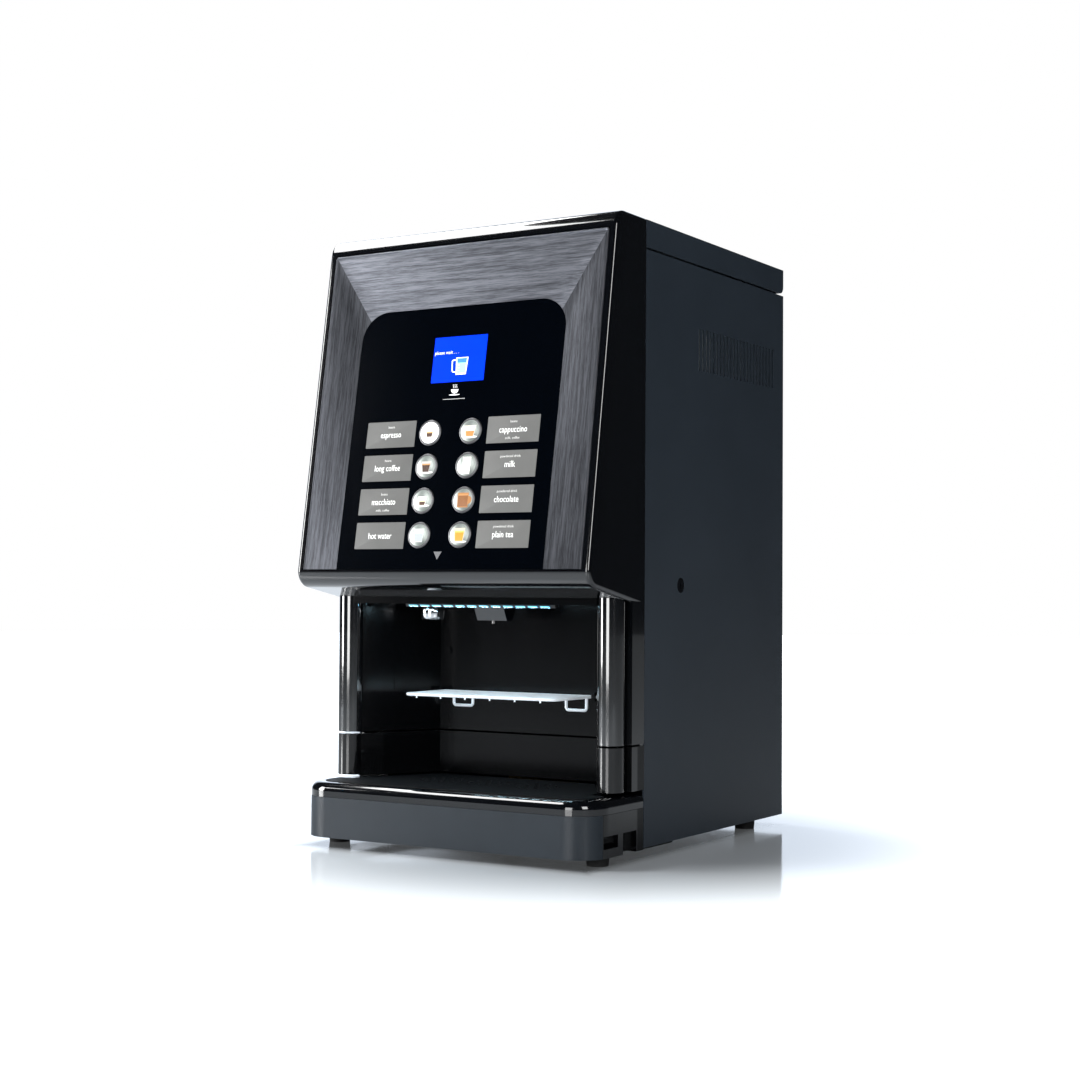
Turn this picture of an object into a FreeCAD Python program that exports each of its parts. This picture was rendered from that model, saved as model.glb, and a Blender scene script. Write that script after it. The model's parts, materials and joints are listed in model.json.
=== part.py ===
"""Table-top hot coffee vending machine: cabinet, hinged door, dispensing niche, drip tray and works.

Millimetres. X runs across the machine, Y from front to back and Z upwards. The origin is the centre of
the overall box at floor level, and the front is on the negative Y side.
"""
import FreeCAD, Part
import math
import os
import re

import Sketcher
from FreeCAD import Placement, Rotation, Vector

# Driving dimensions, in millimetres and degrees. Every one gets a cell of its own in the sheet.
DIMENSIONS = {
    # overall
    "width": 330, "depth": 420, "height": 600, "door_depth": 105, "foot_height": 11,
    # sheet metal and general clearances
    "sheet": 1.5, "seat_gap": 0.3, "door_gap": 0.5, "run_gap": 0.05, "flange": 14,
    # top cover
    "cover_set": 1.4, "cover_height": 25.9, "cover_gap": 2.2, "cover_wall": 2, "cover_pivot": 8,
    "cover_ear": 3.5, "cover_hinge_inset": 45, "hinge_plate": 3, "hinge_pin": 2.5,
    "cover_strap": 40, "rear_set": 2,
    # side vents and lock
    "vent_width": 3.8, "vent_height": 41.6, "vent_pitch": 7.93, "vent_count": 23, "vent_rear": 25.8,
    "vent_drop": 60.9, "lock_radius": 7.3, "lock_back": 73.7, "lock_drop": 13.6, "lock_length": 21,
    "striker_sheet": 3,
    "cam_length": 26, "cam_width": 10, "cam_thickness": 3,
    # door shell
    "front_tilt": 8.75, "nose_set": 0.14, "fascia_drop": 331, "border": 8, "fascia_height": 317,
    "door_wall": 3, "door_top_radius": 17, "door_lip_radius": 16, "door_edge_radius": 4,
    "belly_drop": 30, "belly_slope": 10.4, "cheek_depth": 24, "cheek_width": 8.6,
    "hinge_barrel": 8, "door_pin": 3, "hinge_slot": 14, "strap_inset": 14,
    # bezel and interface panel
    "bezel_depth": 9, "bezel_ledge": 3, "bezel_corner": 3, "ledge_width": 7,
    "recess_tilt": 1.0, "recess_foot": 0.6,
    "panel_width": 233, "panel_height": 256, "panel_corner": 29, "panel_thickness": 2.5,
    "panel_boss": 3, "board_back": 9, "board_thickness": 1.6, "board_margin": 8.5,
    "screen_width": 60.5, "screen_height": 45.5, "screen_centre": 1.2, "screen_foot": 180.7,
    "label_width": 57.6, "label_height": 26, "label_depth": 0.8, "label_left": 69, "label_right": 70.2,
    "button_radius": 12.6, "button_spread": 23, "button_first": 131.8, "button_pitch": 33.1,
    "button_proud": 1, "button_flange": 14, "button_rim": 1.2, "button_stem": 4,
    "button_travel": 1.5, "button_rows": 4,
    # dispensing niche
    "niche_seam": 106.8, "seam_gap": 2, "niche_depth": 45, "niche_rear_width": 192, "niche_wall": 2.5,
    "ceiling_drop": 3, "column_radius": 12.6, "column_margin": 3.2, "column_nest": 0.9,
    "column_foot": 65, "niche_front": 46, "clip_radius": 4.5, "clip_depth": 2.5, "clip_spread": 174,
    "clip_height": 188,
    "led_half": 84, "led_forward": 29, "led_height": 3, "led_depth": 6, "led_count": 12, "led_length": 10,
    "led_pitch": 13.8, "led_lens": 0.8,
    "spout_forward": 2, "spout_drop": 16, "spout_width": 34, "spout_depth": 26, "spout_tip": 10,
    "nozzle_side": 74, "nozzle_radius": 12, "nozzle_bore": 8, "nozzle_collar": 9,
    # cup shelf
    "shelf_level": 146.5, "shelf_reach": 71, "shelf_front_width": 174,
    "shelf_wire": 1.5, "shelf_cross_wire": 1, "shelf_bars": 11, "shelf_pivot": 5.5, "shelf_ear": 4,
    "shelf_leg_drop": 14, "shelf_leg_inner": 55, "shelf_leg_outer": 78,
    "shelf_bend": 0.15, "shelf_slack": 0.5,
    # base and drip tray
    "base_reach": 99, "base_corner": 32, "base_bottom": 9.3, "rim_bottom": 48.5, "rim_top": 62,
    "rim_round": 8, "tray_split": 75, "tray_skin": 4, "arm_width": 36, "basin_gap": 2.5, "basin_wall": 3,
    "basin_foot": 14, "basin_rear": 2, "grille_inset": 14, "grille_thickness": 2, "grille_proud": 0.5,
    "grille_ledge": 4,
    "grille_wall_gap": 2, "cup_ring": 25, "cup_spread": 55, "cup_back": 88, "cup_hole": 2.6,
    "window_front": 74.5, "window_back": 49.5, "window_foot": 17.6, "window_head": 29,
    "arch_front": 40, "arch_back": 14.3, "notch_depth": 10,
    "foot_radius": 11, "front_foot_side": 18, "front_foot_reach": 55, "rear_foot_side": 20,
    "rear_foot_back": 52,
    # frame and shelves inside
    "post_width": 3.4, "post_depth": 20, "rail_height": 10, "deck_height": 110, "deck_sheet": 2,
    "deck_depth": 150, "works_drop": 204,
    # water system
    "tank_width": 148, "tank_depth": 110, "tank_height": 158, "tank_wall": 3, "tank_back": 14, "wall_gap": 6,
    "boiler_radius": 36, "boiler_height": 140, "boiler_side": 58, "boiler_back": 118, "boiler_cap": 5,
    "pump_radius": 22, "pump_length": 78, "pump_foot": 5, "pump_side": 60, "pump_back": 150,
    # powder dosing
    "canister_width": 60, "canister_depth": 130, "canister_height": 158, "canister_wall": 2,
    "canister_gap": 4, "canister_front": 26, "canister_count": 3, "auger_radius": 8, "auger_blade": 6,
    "auger_step": 9, "auger_sheet": 2, "auger_height": 17, "spout_pipe": 12, "spout_pipe_wall": 2,
    "spout_pipe_reach": 18,
    "motor_radius": 14, "motor_length": 26, "shaft_radius": 3,
    "bowl_height": 42, "bowl_depth": 20, "bowl_wall": 2, "whip_radius": 22, "whip_depth": 26,
    "whip_drop": 30, "bowl_gap": 3, "outlet_radius": 6,
    # coffee works
    "hopper_width": 116, "hopper_depth": 130, "hopper_height": 84, "hopper_wall": 2.5, "lid_sheet": 3,
    "grinder_radius": 37, "grinder_height": 66, "grinder_bore": 25, "grinder_bowl": 20, "burr_radius": 20,
    "burr_height": 16, "throat_radius": 18,
    "brew_width": 84, "striker_room": 32, "brew_depth": 92, "brew_height": 170, "brew_plate": 4,
    "brew_gap": 4.5,
    "chamber_radius": 31, "chamber_wall": 4, "chamber_height": 54, "chamber_drop": 36,
    "piston_gap": 0.4, "piston_height": 14, "piston_rod": 6, "piston_rest": 8,
    "spindle_radius": 5, "spindle_back": 10, "yoke_height": 8,
    "bin_width": 110, "bin_depth": 120, "bin_height": 76, "bin_wall": 2.5,
    # electrics
    "supply_width": 96, "supply_depth": 110, "supply_height": 118, "supply_front": 165, "fin_count": 7,
    "fan_size": 80, "fan_depth": 25, "fan_bore": 37, "fan_hub": 15, "fan_blade": 35.5, "fan_side": 70,
    "fan_height": 300, "grille_slot": 4, "grille_pitch": 7.5,
    "inlet_width": 48, "inlet_height": 64, "inlet_depth": 28, "inlet_side": 60, "inlet_foot": 34,
    "inlet_flange": 5, "inlet_lip": 1.5, "rocker_width": 13, "rocker_height": 20, "rocker_depth": 9,
    "screw_radius": 3.4, "screw_shank": 1.6, "screw_head": 1.4, "screw_inset": 12,
}

# Places worked out from the driving dimensions, as expressions of the sheet.
HALF = "(width/2)"
INNER = "(width/2 - sheet)"
SEAM = "(door_depth - depth/2)"
REAR = "(depth/2)"
REAR_FACE = "(depth/2 - rear_set)"
BACK_INSIDE = "(depth/2 - rear_set - sheet)"
DOOR_BACK = f"({SEAM} - door_gap)"
COVER_TOP = "(height - cover_set)"
COVER_FOOT = "(height - cover_set - cover_height)"
PANEL_TOP = f"({COVER_FOOT} - cover_gap)"
NOSE = "(nose_set - depth/2)"
LINE = "(height - fascia_drop)"
BELLY = f"({LINE} - belly_drop)"
CEILING = f"({BELLY} - ceiling_drop)"
CHEEK_FRONT = f"({SEAM} - cheek_depth)"
CHEEK_INNER = "(width/2 - cheek_width)"
DOOR_FOOT = "(niche_seam + seam_gap/2)"
BASE_HEAD = "(niche_seam - seam_gap/2)"
ARM_INNER = "(width/2 - arm_width)"
COLUMN_X = "(width/2 - column_margin - column_radius)"
COLUMN_OUT = "(cheek_depth + column_radius - column_nest)"
COLUMN_Y = f"({SEAM} - {COLUMN_OUT})"
NICHE_BACK = f"({SEAM} + niche_depth)"
NICHE_SIDE = f"({COLUMN_X} - column_radius + seat_gap)"
NICHE_REAR = "(niche_rear_width/2)"
PIN_X = "(hinge_barrel - width/2)"
PIN_Y = f"({DOOR_BACK} - hinge_barrel)"
WORKS = "(height - works_drop)"
WORKS_TOP = f"({WORKS} + sheet)"
BASE_FRONT = f"({SEAM} - base_reach)"
TRAY_SPLIT = f"({SEAM} - tray_split)"
LOCK_Y = f"({SEAM} + lock_back)"
LOCK_Z = f"({LINE} - lock_drop)"
INLET_X = ("(-inlet_side - inlet_width/2)", "(inlet_width/2 - inlet_side)")
INLET_Z = ("inlet_foot", "(inlet_foot + inlet_height)")
ROCKER_Z = "(inlet_foot + inlet_height - 16)"
COVER_PIN_Y = f"({REAR} - cover_pivot)"
COVER_PIN_Z = f"({COVER_FOOT} + cover_pivot)"
WALL_SHIFT = f"({NICHE_SIDE} - {NICHE_REAR})*{COLUMN_OUT}/({COLUMN_OUT} + niche_depth)"
WALL_AT_SEAM = f"({NICHE_SIDE} - {WALL_SHIFT} + niche_wall/2)"
DOOR_STRAPS = (f"({DOOR_FOOT} + 4)", f"({PANEL_TOP} - 2 - strap_inset)")
SHELF_FRONT = f"({SEAM} + 1 + post_depth + wall_gap)"
CANISTER_Y = f"({SEAM} + canister_front)"
CANISTER_BACK = f"({CANISTER_Y} + canister_depth)"
AUGER_Z = f"({WORKS_TOP} + auger_height)"
WHIP_X = "(-nozzle_side)"
BOWL_HEAD = f"({WORKS} - bowl_gap)"
BOWL_FOOT = f"({WORKS} - bowl_gap - bowl_height)"
WHIP_Z = f"({BOWL_FOOT} - whip_drop + 10)"
BOWL_FRONT = f"({SEAM} + 5)"
MIXER_PLATE = f"({BOWL_FRONT} + whip_depth + seat_gap)"
BREW_X = f"({INNER} - wall_gap - striker_room - brew_width/2)"
BREW_FRONT = f"({NICHE_BACK} + niche_wall + brew_gap)"
BREW_Y = f"({BREW_FRONT} + chamber_radius + 5)"
BREW_HEAD = f"({WORKS} - seat_gap)"
BREW_FOOT = f"({BREW_HEAD} - brew_height)"
CHAMBER_HEAD = f"({BREW_HEAD} - chamber_drop)"
CHAMBER_FOOT = f"({CHAMBER_HEAD} - chamber_height)"
SPINDLE_Y = f"({BREW_Y} + chamber_radius + spindle_back)"
GRINDER_X = f"({INNER} - wall_gap - hopper_width/2)"
GRINDER_Y = f"({CANISTER_Y} + hopper_depth/2)"
GRINDER_HEAD = f"({WORKS_TOP} + grinder_height)"
LOW_SLOPE = "tan(belly_slope)"
FRONT_SLOPE = "tan(front_tilt)"
SHELF_PIVOT_Y = f"({NICHE_BACK} - shelf_pivot)"
CAM_X = f"({HALF} - lock_length - cam_thickness)"
SPOUT_Y = f"({SEAM} - spout_forward)"
RIM_BACK = f"({SEAM} - 1 - seat_gap)"
TRAY_BACK = f"({NICHE_BACK} - basin_rear)"
LEFT, RIGHT = -1, 1
SIDES = (LEFT, RIGHT)
FULL_TURN = 360
AUGER_TURN = 40

document = FreeCAD.newDocument("CoffeeVendingMachine")
sheet = document.addObject("Spreadsheet::Sheet", "dims")
sub_parts = {}


def fill_sheet():
    """Write each driving dimension as a plain number with its own alias."""
    for row, (alias, size) in enumerate(DIMENSIONS.items(), start=1):
        sheet.set(f"A{row}", alias)
        sheet.set(f"B{row}", str(size))
        sheet.setAlias(f"B{row}", alias)
    document.recompute()


def bound(text):
    """Turn the names of driving dimensions in an expression into references to the sheet."""
    return re.sub(r"[a-z_]+", lambda word: f"dims.{word[0]}" if word[0] in DIMENSIONS else word[0], text)


def value(text):
    """Work out an expression of the sheet as a plain number."""
    return float(sheet.evalExpression(bound(text)))


def mirrored(side, near, far):
    """Give the X span between two distances from the middle plane, on one side of it."""
    if side == RIGHT:
        return near, far
    return f"-({far})", f"-({near})"


def node(label, piece):
    """Name a finished sub-part, whose label also names its file."""
    piece.Label = label
    sub_parts[label] = piece
    return piece


# ---------------------------------------------------------------- building blocks


def block(name, across, along, up):
    """Add a box from its low and high expressions in X, Y and Z."""
    box = document.addObject("Part::Box", name)
    for side, axis, (low, high) in zip(("Length", "Width", "Height"), "xyz", (across, along, up)):
        box.setExpression(side, bound(f"({high}) - ({low})"))
        box.setExpression(f"Placement.Base.{axis}", bound(low))
    return box


def turn_to(axis):
    """Give the rotation that lays a solid's own Z axis along X, Y or Z."""
    if axis == "x":
        return Rotation(Vector(0, 1, 0), 90)
    if axis == "y":
        return Rotation(Vector(1, 0, 0), -90)
    return Rotation()


def stand(piece, axis, centre, low):
    """Stand a round solid on its low end, with its centre line at the two other coordinates."""
    piece.Placement = Placement(Vector(), turn_to(axis))
    others = [letter for letter in "xyz" if letter != axis]
    for letter, place in zip(others, centre):
        piece.setExpression(f"Placement.Base.{letter}", bound(place))
    piece.setExpression(f"Placement.Base.{axis}", bound(low))


def rod(name, axis, radius, centre, low, high):
    """Add a cylinder along one axis, from low to high, round the given centre line."""
    cylinder = document.addObject("Part::Cylinder", name)
    cylinder.setExpression("Radius", bound(radius))
    cylinder.setExpression("Height", bound(f"({high}) - ({low})"))
    stand(cylinder, axis, centre, low)
    return cylinder


def taper(name, axis, low_radius, high_radius, centre, low, high):
    """Add a cone along one axis, with its radius at each end."""
    cone = document.addObject("Part::Cone", name)
    cone.setExpression("Radius1", bound(low_radius))
    cone.setExpression("Radius2", bound(high_radius))
    cone.setExpression("Height", bound(f"({high}) - ({low})"))
    stand(cone, axis, centre, low)
    return cone


def ball(name, radius, centre):
    """Add a sphere round the given X, Y and Z."""
    sphere = document.addObject("Part::Sphere", name)
    sphere.setExpression("Radius", bound(radius))
    for axis, place in zip("xyz", centre):
        sphere.setExpression(f"Placement.Base.{axis}", bound(place))
    return sphere


def fuse(name, pieces):
    """Join pieces into one."""
    joined = document.addObject("Part::MultiFuse", name)
    joined.Shapes = list(pieces)
    joined.Refine = True
    return joined


def cut(name, base, tools):
    """Take one or more tools away from a base."""
    tools = list(tools)
    tool = tools[0] if len(tools) == 1 else fuse(f"{name}_tools", tools)
    result = document.addObject("Part::Cut", name)
    result.Base = base
    result.Tool = tool
    result.Refine = True
    return result


def common(name, base, tool):
    """Keep what two pieces share."""
    result = document.addObject("Part::Common", name)
    result.Base = base
    result.Tool = tool
    return result


def group(name, pieces):
    """Hold separate solids together as one sub-part."""
    compound = document.addObject("Part::Compound", name)
    compound.Links = list(pieces)
    return compound


PLANES = {"XY": ("XY_Plane", "z", False), "XZ": ("XZ_Plane", "y", True), "YZ": ("YZ_Plane", "x", False)}


def origin_plane(body, role):
    """Find one of a body's own origin planes."""
    return next(feature for feature in body.Origin.OriginFeatures if feature.Role == role)


def polygon(body, name, role, corners):
    """Sketch a closed polygon whose corners are bound to (across, up) expressions."""
    sketch = body.newObject("Sketcher::SketchObject", name)
    sketch.AttachmentSupport = [(origin_plane(body, role), "")]
    sketch.MapMode = "FlatFace"
    places = [Vector(value(across), value(up), 0) for across, up in corners]
    count = len(corners)
    for index in range(count):
        sketch.addGeometry(Part.LineSegment(places[index], places[(index + 1) % count]), False)
    for index in range(count):
        sketch.addConstraint(Sketcher.Constraint("Coincident", index, 2, (index + 1) % count, 1))
    for index, (across, up) in enumerate(corners):
        for kind, size, text in (("DistanceX", places[index].x, across), ("DistanceY", places[index].y, up)):
            number = sketch.addConstraint(Sketcher.Constraint(kind, -1, 1, index, 1, size))
            sketch.setExpression(f"Constraints[{number}]", bound(text))
    return sketch


def prism(name, plane, corners, low, high):
    """Pad a polygon from low to high along the normal of an origin plane."""
    role, axis, reverse = PLANES[plane]
    body = document.addObject("PartDesign::Body", name)
    sketch = polygon(body, f"{name}_sketch", role, corners)
    pad = body.newObject("PartDesign::Pad", f"{name}_pad")
    pad.Profile = sketch
    pad.setExpression("Length", bound(f"({high}) - ({low})"))
    pad.Reversed = reverse
    body.setExpression(f"Placement.Base.{axis}", bound(low))
    return body


def rectangle(across, up):
    """Give the corners of a rectangle from two (low, high) spans."""
    return [(across[0], up[0]), (across[1], up[0]), (across[1], up[1]), (across[0], up[1])]


def soften(body, radius, chosen):
    """Round the edges of a body's last feature that pass a test, made where the body stands."""
    document.recompute()
    last = body.Tip
    placed = last.Shape.copy()
    placed.Placement = body.Placement.multiply(placed.Placement)
    names = [f"Edge{index}" for index, edge in enumerate(placed.Edges, start=1) if chosen(edge)]
    fillet = body.newObject("PartDesign::Fillet", f"{body.Name}_fillet")
    fillet.Base = (last, names)
    fillet.setExpression("Radius", bound(radius))
    return fillet


def runs_along(edge, axis):
    """Tell whether a straight edge is parallel to an axis."""
    if not isinstance(edge.Curve, Part.Line):
        return False
    return abs(abs(getattr(edge.Curve.Direction, axis)) - 1) < 1e-6


def pocket_row(body, plane, corners, depth, count, length):
    """Cut a pocket through a padded plate and repeat it along the sketch's first axis."""
    role = PLANES[plane][0]
    sketch = polygon(body, f"{body.Name}_slot", role, corners)
    before = body.Tip
    pocket = body.newObject("PartDesign::Pocket", f"{body.Name}_pocket")
    pocket.Profile = sketch
    pocket.setExpression("Length", bound(depth))
    pocket.Reversed = not PLANES[plane][2]
    document.recompute()
    if pocket.Shape.Volume >= before.Shape.Volume:
        raise RuntimeError(f"the pocket of {body.Name} cuts nothing")
    pattern = body.newObject("PartDesign::LinearPattern", f"{body.Name}_pattern")
    pattern.Originals = [pocket]
    pattern.Direction = (sketch, ["H_Axis"])
    pattern.setExpression("Length", bound(length))
    pattern.setExpression("Occurrences", bound(count))
    body.Tip = pattern
    return pattern


def lean(piece, angle, depth="0"):
    """Lay a piece that is drawn upright on the slanted front: its own Y is the depth from the fascia."""
    piece.Placement = Placement(Vector(), Rotation(Vector(1, 0, 0), 1))
    piece.setExpression("Placement.Base.y", bound(f"{NOSE} + ({depth})*cos(front_tilt)"))
    piece.setExpression("Placement.Base.z", bound(f"{LINE} - ({depth})*sin(front_tilt)"))
    piece.setExpression("Placement.Rotation.Angle", bound(f"-({angle})"))
    return piece


def on_fascia(piece):
    """Lay a piece on the plane of the fascia."""
    return lean(piece, "front_tilt")


def on_panel(piece):
    """Lay a piece on the plane of the interface panel, which leans back a little further."""
    return lean(piece, "front_tilt + recess_tilt", "recess_foot")


# ---------------------------------------------------------------- cabinet


def make_base_pan():
    """Folded floor of the cabinet, with a flange up each side."""
    floor = ("foot_height", "foot_height + sheet")
    across = (f"seat_gap - {INNER}", f"{INNER} - seat_gap")
    along = (f"{NICHE_BACK} + wall_gap", f"{BACK_INSIDE} - seat_gap")
    up = ("foot_height", "foot_height + flange")
    pieces = [
        block("pan_floor", across, along, floor),
        block("pan_front", across, (along[0], f"{along[0]} + sheet"), up),
        block("pan_back", across, (f"{along[1]} - sheet", along[1]), up),
        block("pan_left", (across[0], f"{across[0]} + sheet"), along, up),
        block("pan_right", (f"{across[1]} - sheet", across[1]), along, up),
    ]
    return node("base_pan", fuse("pan", pieces))


def make_side_panel(side):
    """Painted side panel with a row of upright vent slots, and the lock's hole on the right."""
    name = "right_side" if side == RIGHT else "left_side"
    low = INNER if side == RIGHT else f"-{HALF}"
    body = prism(name, "YZ", rectangle((SEAM, REAR), ("foot_height", PANEL_TOP)), low, f"{low} + sheet")
    start = f"{REAR} - vent_rear - vent_width - (vent_count - 1)*vent_pitch"
    head = f"{PANEL_TOP} - vent_drop"
    slot = rectangle((start, f"{start} + vent_width"), (f"{head} - vent_height", head))
    pocket_row(body, "YZ", slot, "sheet", "vent_count", "(vent_count - 1)*vent_pitch")
    if side == LEFT:
        return node("side_panel_left", body)
    hole = rod("lock_hole", "x", "lock_radius + seat_gap", (LOCK_Y, LOCK_Z), f"{INNER} - sheet",
               f"{HALF} + sheet")
    return node("side_panel_right", cut("right_side_cut", body, [hole]))


def slotted_grille(name, axis_x, axis_z, radius):
    """Give the tool that cuts a round grille of level slots through the rear panel."""
    rows = int(value(f"2*{radius}/grille_pitch"))
    depth = (f"{BACK_INSIDE} - sheet", f"{REAR} + sheet")
    bars = []
    for row in range(rows):
        middle = f"{axis_z} + ({row} - {(rows - 1) / 2})*grille_pitch"
        across = (f"{axis_x} - {radius}", f"{axis_x} + {radius}")
        bars.append(block(f"{name}_slot", across, depth,
                          (f"{middle} - grille_slot/2", f"{middle} + grille_slot/2")))
    disc = rod(f"{name}_disc", "y", radius, (axis_x, axis_z), depth[0], depth[1])
    return common(f"{name}_slots", fuse(f"{name}_bars", bars), disc)


def screw_places():
    """List where the screws of the rear panel go, as X and Z expressions."""
    levels = ("foot_height + flange + screw_inset", f"({PANEL_TOP})/2", f"{PANEL_TOP} - screw_inset")
    return [(f"{side}*({INNER} - screw_inset)", level) for side in SIDES for level in levels]


def make_rear_panel():
    """Rear panel with the fan's grille and the window of the power inlet."""
    across = (f"seat_gap - {INNER}", f"{INNER} - seat_gap")
    up = ("foot_height", PANEL_TOP)
    body = prism("rear_sheet", "XZ", rectangle(across, up), BACK_INSIDE, REAR_FACE)
    grille = slotted_grille("fan_grille", "-fan_side", "fan_height", "fan_bore")
    window = block("inlet_window", INLET_X, (f"{BACK_INSIDE} - sheet", f"{REAR} + sheet"), INLET_Z)
    holes = [rod("screw_hole", "y", "screw_shank + run_gap", centre, f"{BACK_INSIDE} - 1", REAR)
             for centre in screw_places()]
    return node("rear_panel", cut("rear_sheet_cut", body, [grille, window] + holes))


def make_inner_frame():
    """Welded frame: posts at the door, side rails, a top rail and the deck that carries the works."""
    pieces = []
    front = (f"{SEAM} + 1", f"{SEAM} + 1 + post_depth")
    for side in SIDES:
        span = mirrored(side, f"{INNER} - seat_gap - post_width", f"{INNER} - seat_gap")
        pieces.append(block("post", span, front, ("foot_height + flange + 1", f"{PANEL_TOP} - 2")))
        for head in ("deck_height", WORKS):
            rail = (f"{head} - rail_height", head)
            pieces.append(block("rail", span, (front[0], f"{BACK_INSIDE} - seat_gap"), rail))
    across = (f"seat_gap - {INNER}", f"{INNER} - seat_gap")
    pieces.append(block("top_rail", across, front, (f"{PANEL_TOP} - 2 - rail_height", f"{PANEL_TOP} - 2")))
    deck = (f"{NICHE_BACK} + wall_gap", f"{NICHE_BACK} + wall_gap + deck_depth")
    pieces.append(block("deck", across, deck, ("deck_height - deck_sheet", "deck_height")))
    plate = block("mixer_plate", (across[0], f"{WHIP_X} + whip_radius + 8"),
                  (MIXER_PLATE, f"{MIXER_PLATE} + deck_sheet"),
                  (f"{WHIP_Z} - whip_radius - 8", WORKS))
    hole = rod("mixer_plate_hole", "y", "shaft_radius + 1", (WHIP_X, WHIP_Z), f"{MIXER_PLATE} - 1",
               f"{MIXER_PLATE} + deck_sheet + 1")
    return node("inner_frame", cut("frame_cut", fuse("welded_frame", pieces + [plate]), [hole]))


def make_works_shelf():
    """Shelf under the hoppers, open where the ground coffee falls to the brewer."""
    across = (f"seat_gap - {INNER}", f"{INNER} - seat_gap")
    plate = block("works_plate", across, (SHELF_FRONT, f"{BACK_INSIDE} - seat_gap"), (WORKS, WORKS_TOP))
    chute = rod("chute_hole", "z", "outlet_radius*2", (GRINDER_X, GRINDER_Y), f"{WORKS} - 1",
                f"{WORKS_TOP} + 1")
    return node("works_shelf", cut("works_plate_cut", plate, [chute]))


def base_outline(name, inset, low, high, back=f"{SEAM} - 1"):
    """Pad the plan of the base, with its rounded front corners, less an inset at the front and sides."""
    across = (f"{inset} - {HALF}", f"{HALF} - ({inset})")
    along = (f"{BASE_FRONT} + {inset}", back)
    body = prism(name, "XY", rectangle(across, along), low, high)
    front = value(along[0]) + 1
    soften(body, f"base_corner - {inset}", lambda edge: runs_along(edge, "z") and edge.BoundBox.YMax < front)
    return body


def niche_wall(name, side, low, high):
    """Pad one slanted side wall of the niche, from the column back to the rear corner."""
    sign = f"{side}"
    corners = [
        (f"{sign}*{NICHE_SIDE}", COLUMN_Y),
        (f"{sign}*({NICHE_SIDE} + niche_wall)", COLUMN_Y),
        (f"{sign}*({NICHE_REAR} + niche_wall)", f"{NICHE_BACK} + niche_wall"),
        (f"{sign}*{NICHE_REAR}", f"{NICHE_BACK} + niche_wall"),
        (f"{sign}*{NICHE_REAR}", NICHE_BACK),
    ]
    return prism(name, "XY", corners, low, high)


def make_base_moulding():
    """Plinth arms beside the tray, the lower part of the niche and the feet of its columns."""
    pieces = []
    outline = base_outline("base_plan", "0", "base_bottom", "rim_bottom - seat_gap")
    wall_foot = "rim_top + grille_wall_gap"
    web_back = f"{SEAM} + 1 - seat_gap"
    for side in SIDES:
        strip = block("arm_box", mirrored(side, ARM_INNER, f"{HALF} + 1"), (TRAY_SPLIT, SEAM),
                      ("0", "rim_bottom"))
        pieces.append(common("arm", outline, strip))
        web = (f"{SEAM} - 1", web_back)
        pieces.append(block("web", mirrored(side, ARM_INNER, INNER), web, ("base_bottom", BASE_HEAD)))
        pieces.append(niche_wall("lower_wall", side, wall_foot, BASE_HEAD))
        sole = (f"{SEAM} - 1", f"{NICHE_BACK} + wall_gap + 10")
        pieces.append(block("sole", mirrored(side, ARM_INNER, INNER), sole, ("base_bottom", "foot_height")))
        bridge = mirrored(side, WALL_AT_SEAM, ARM_INNER)
        pieces.append(block("web_bridge", bridge, web, (wall_foot, BASE_HEAD)))
        cheek = mirrored(side, CHEEK_INNER, HALF)
        pieces.append(block("lower_cheek", cheek, (CHEEK_FRONT, SEAM), ("rim_top + 3", BASE_HEAD)))
        centre = (f"{side}*{COLUMN_X}", COLUMN_Y)
        pieces.append(rod("column_stub", "z", "column_radius", centre, "column_foot", BASE_HEAD))
    rear = (f"-{NICHE_REAR} - niche_wall", f"{NICHE_REAR} + niche_wall")
    pieces.append(block("lower_rear", rear, (NICHE_BACK, f"{NICHE_BACK} + niche_wall"),
                        (wall_foot, BASE_HEAD)))
    notches = []
    for side in SIDES:
        span = mirrored(side, f"{HALF} - notch_depth", f"{HALF} + 1")
        window = (f"{SEAM} - window_front", f"{SEAM} - window_back")
        notches.append(block("window", span, window, ("window_foot", "window_head")))
        arch = (f"{SEAM} - arch_front", f"{SEAM} - arch_back")
        notches.append(block("arch", span, arch, ("0", "window_head")))
    return node("base_moulding", cut("base_body", fuse("base_fused", pieces), notches))


def make_feet():
    """Four round rubber feet, one at each corner."""
    feet = []
    for side in SIDES:
        front = (f"{side}*({HALF} - front_foot_side)", f"{SEAM} - front_foot_reach")
        feet.append(taper("front_foot", "z", "foot_radius - 1", "foot_radius", front, "0", "base_bottom"))
        rear = (f"{side}*({HALF} - rear_foot_side)", f"{REAR} - rear_foot_back")
        feet.append(taper("rear_foot", "z", "foot_radius - 1", "foot_radius", rear, "0", "foot_height"))
    return node("rubber_feet", group("feet", feet))


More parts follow.
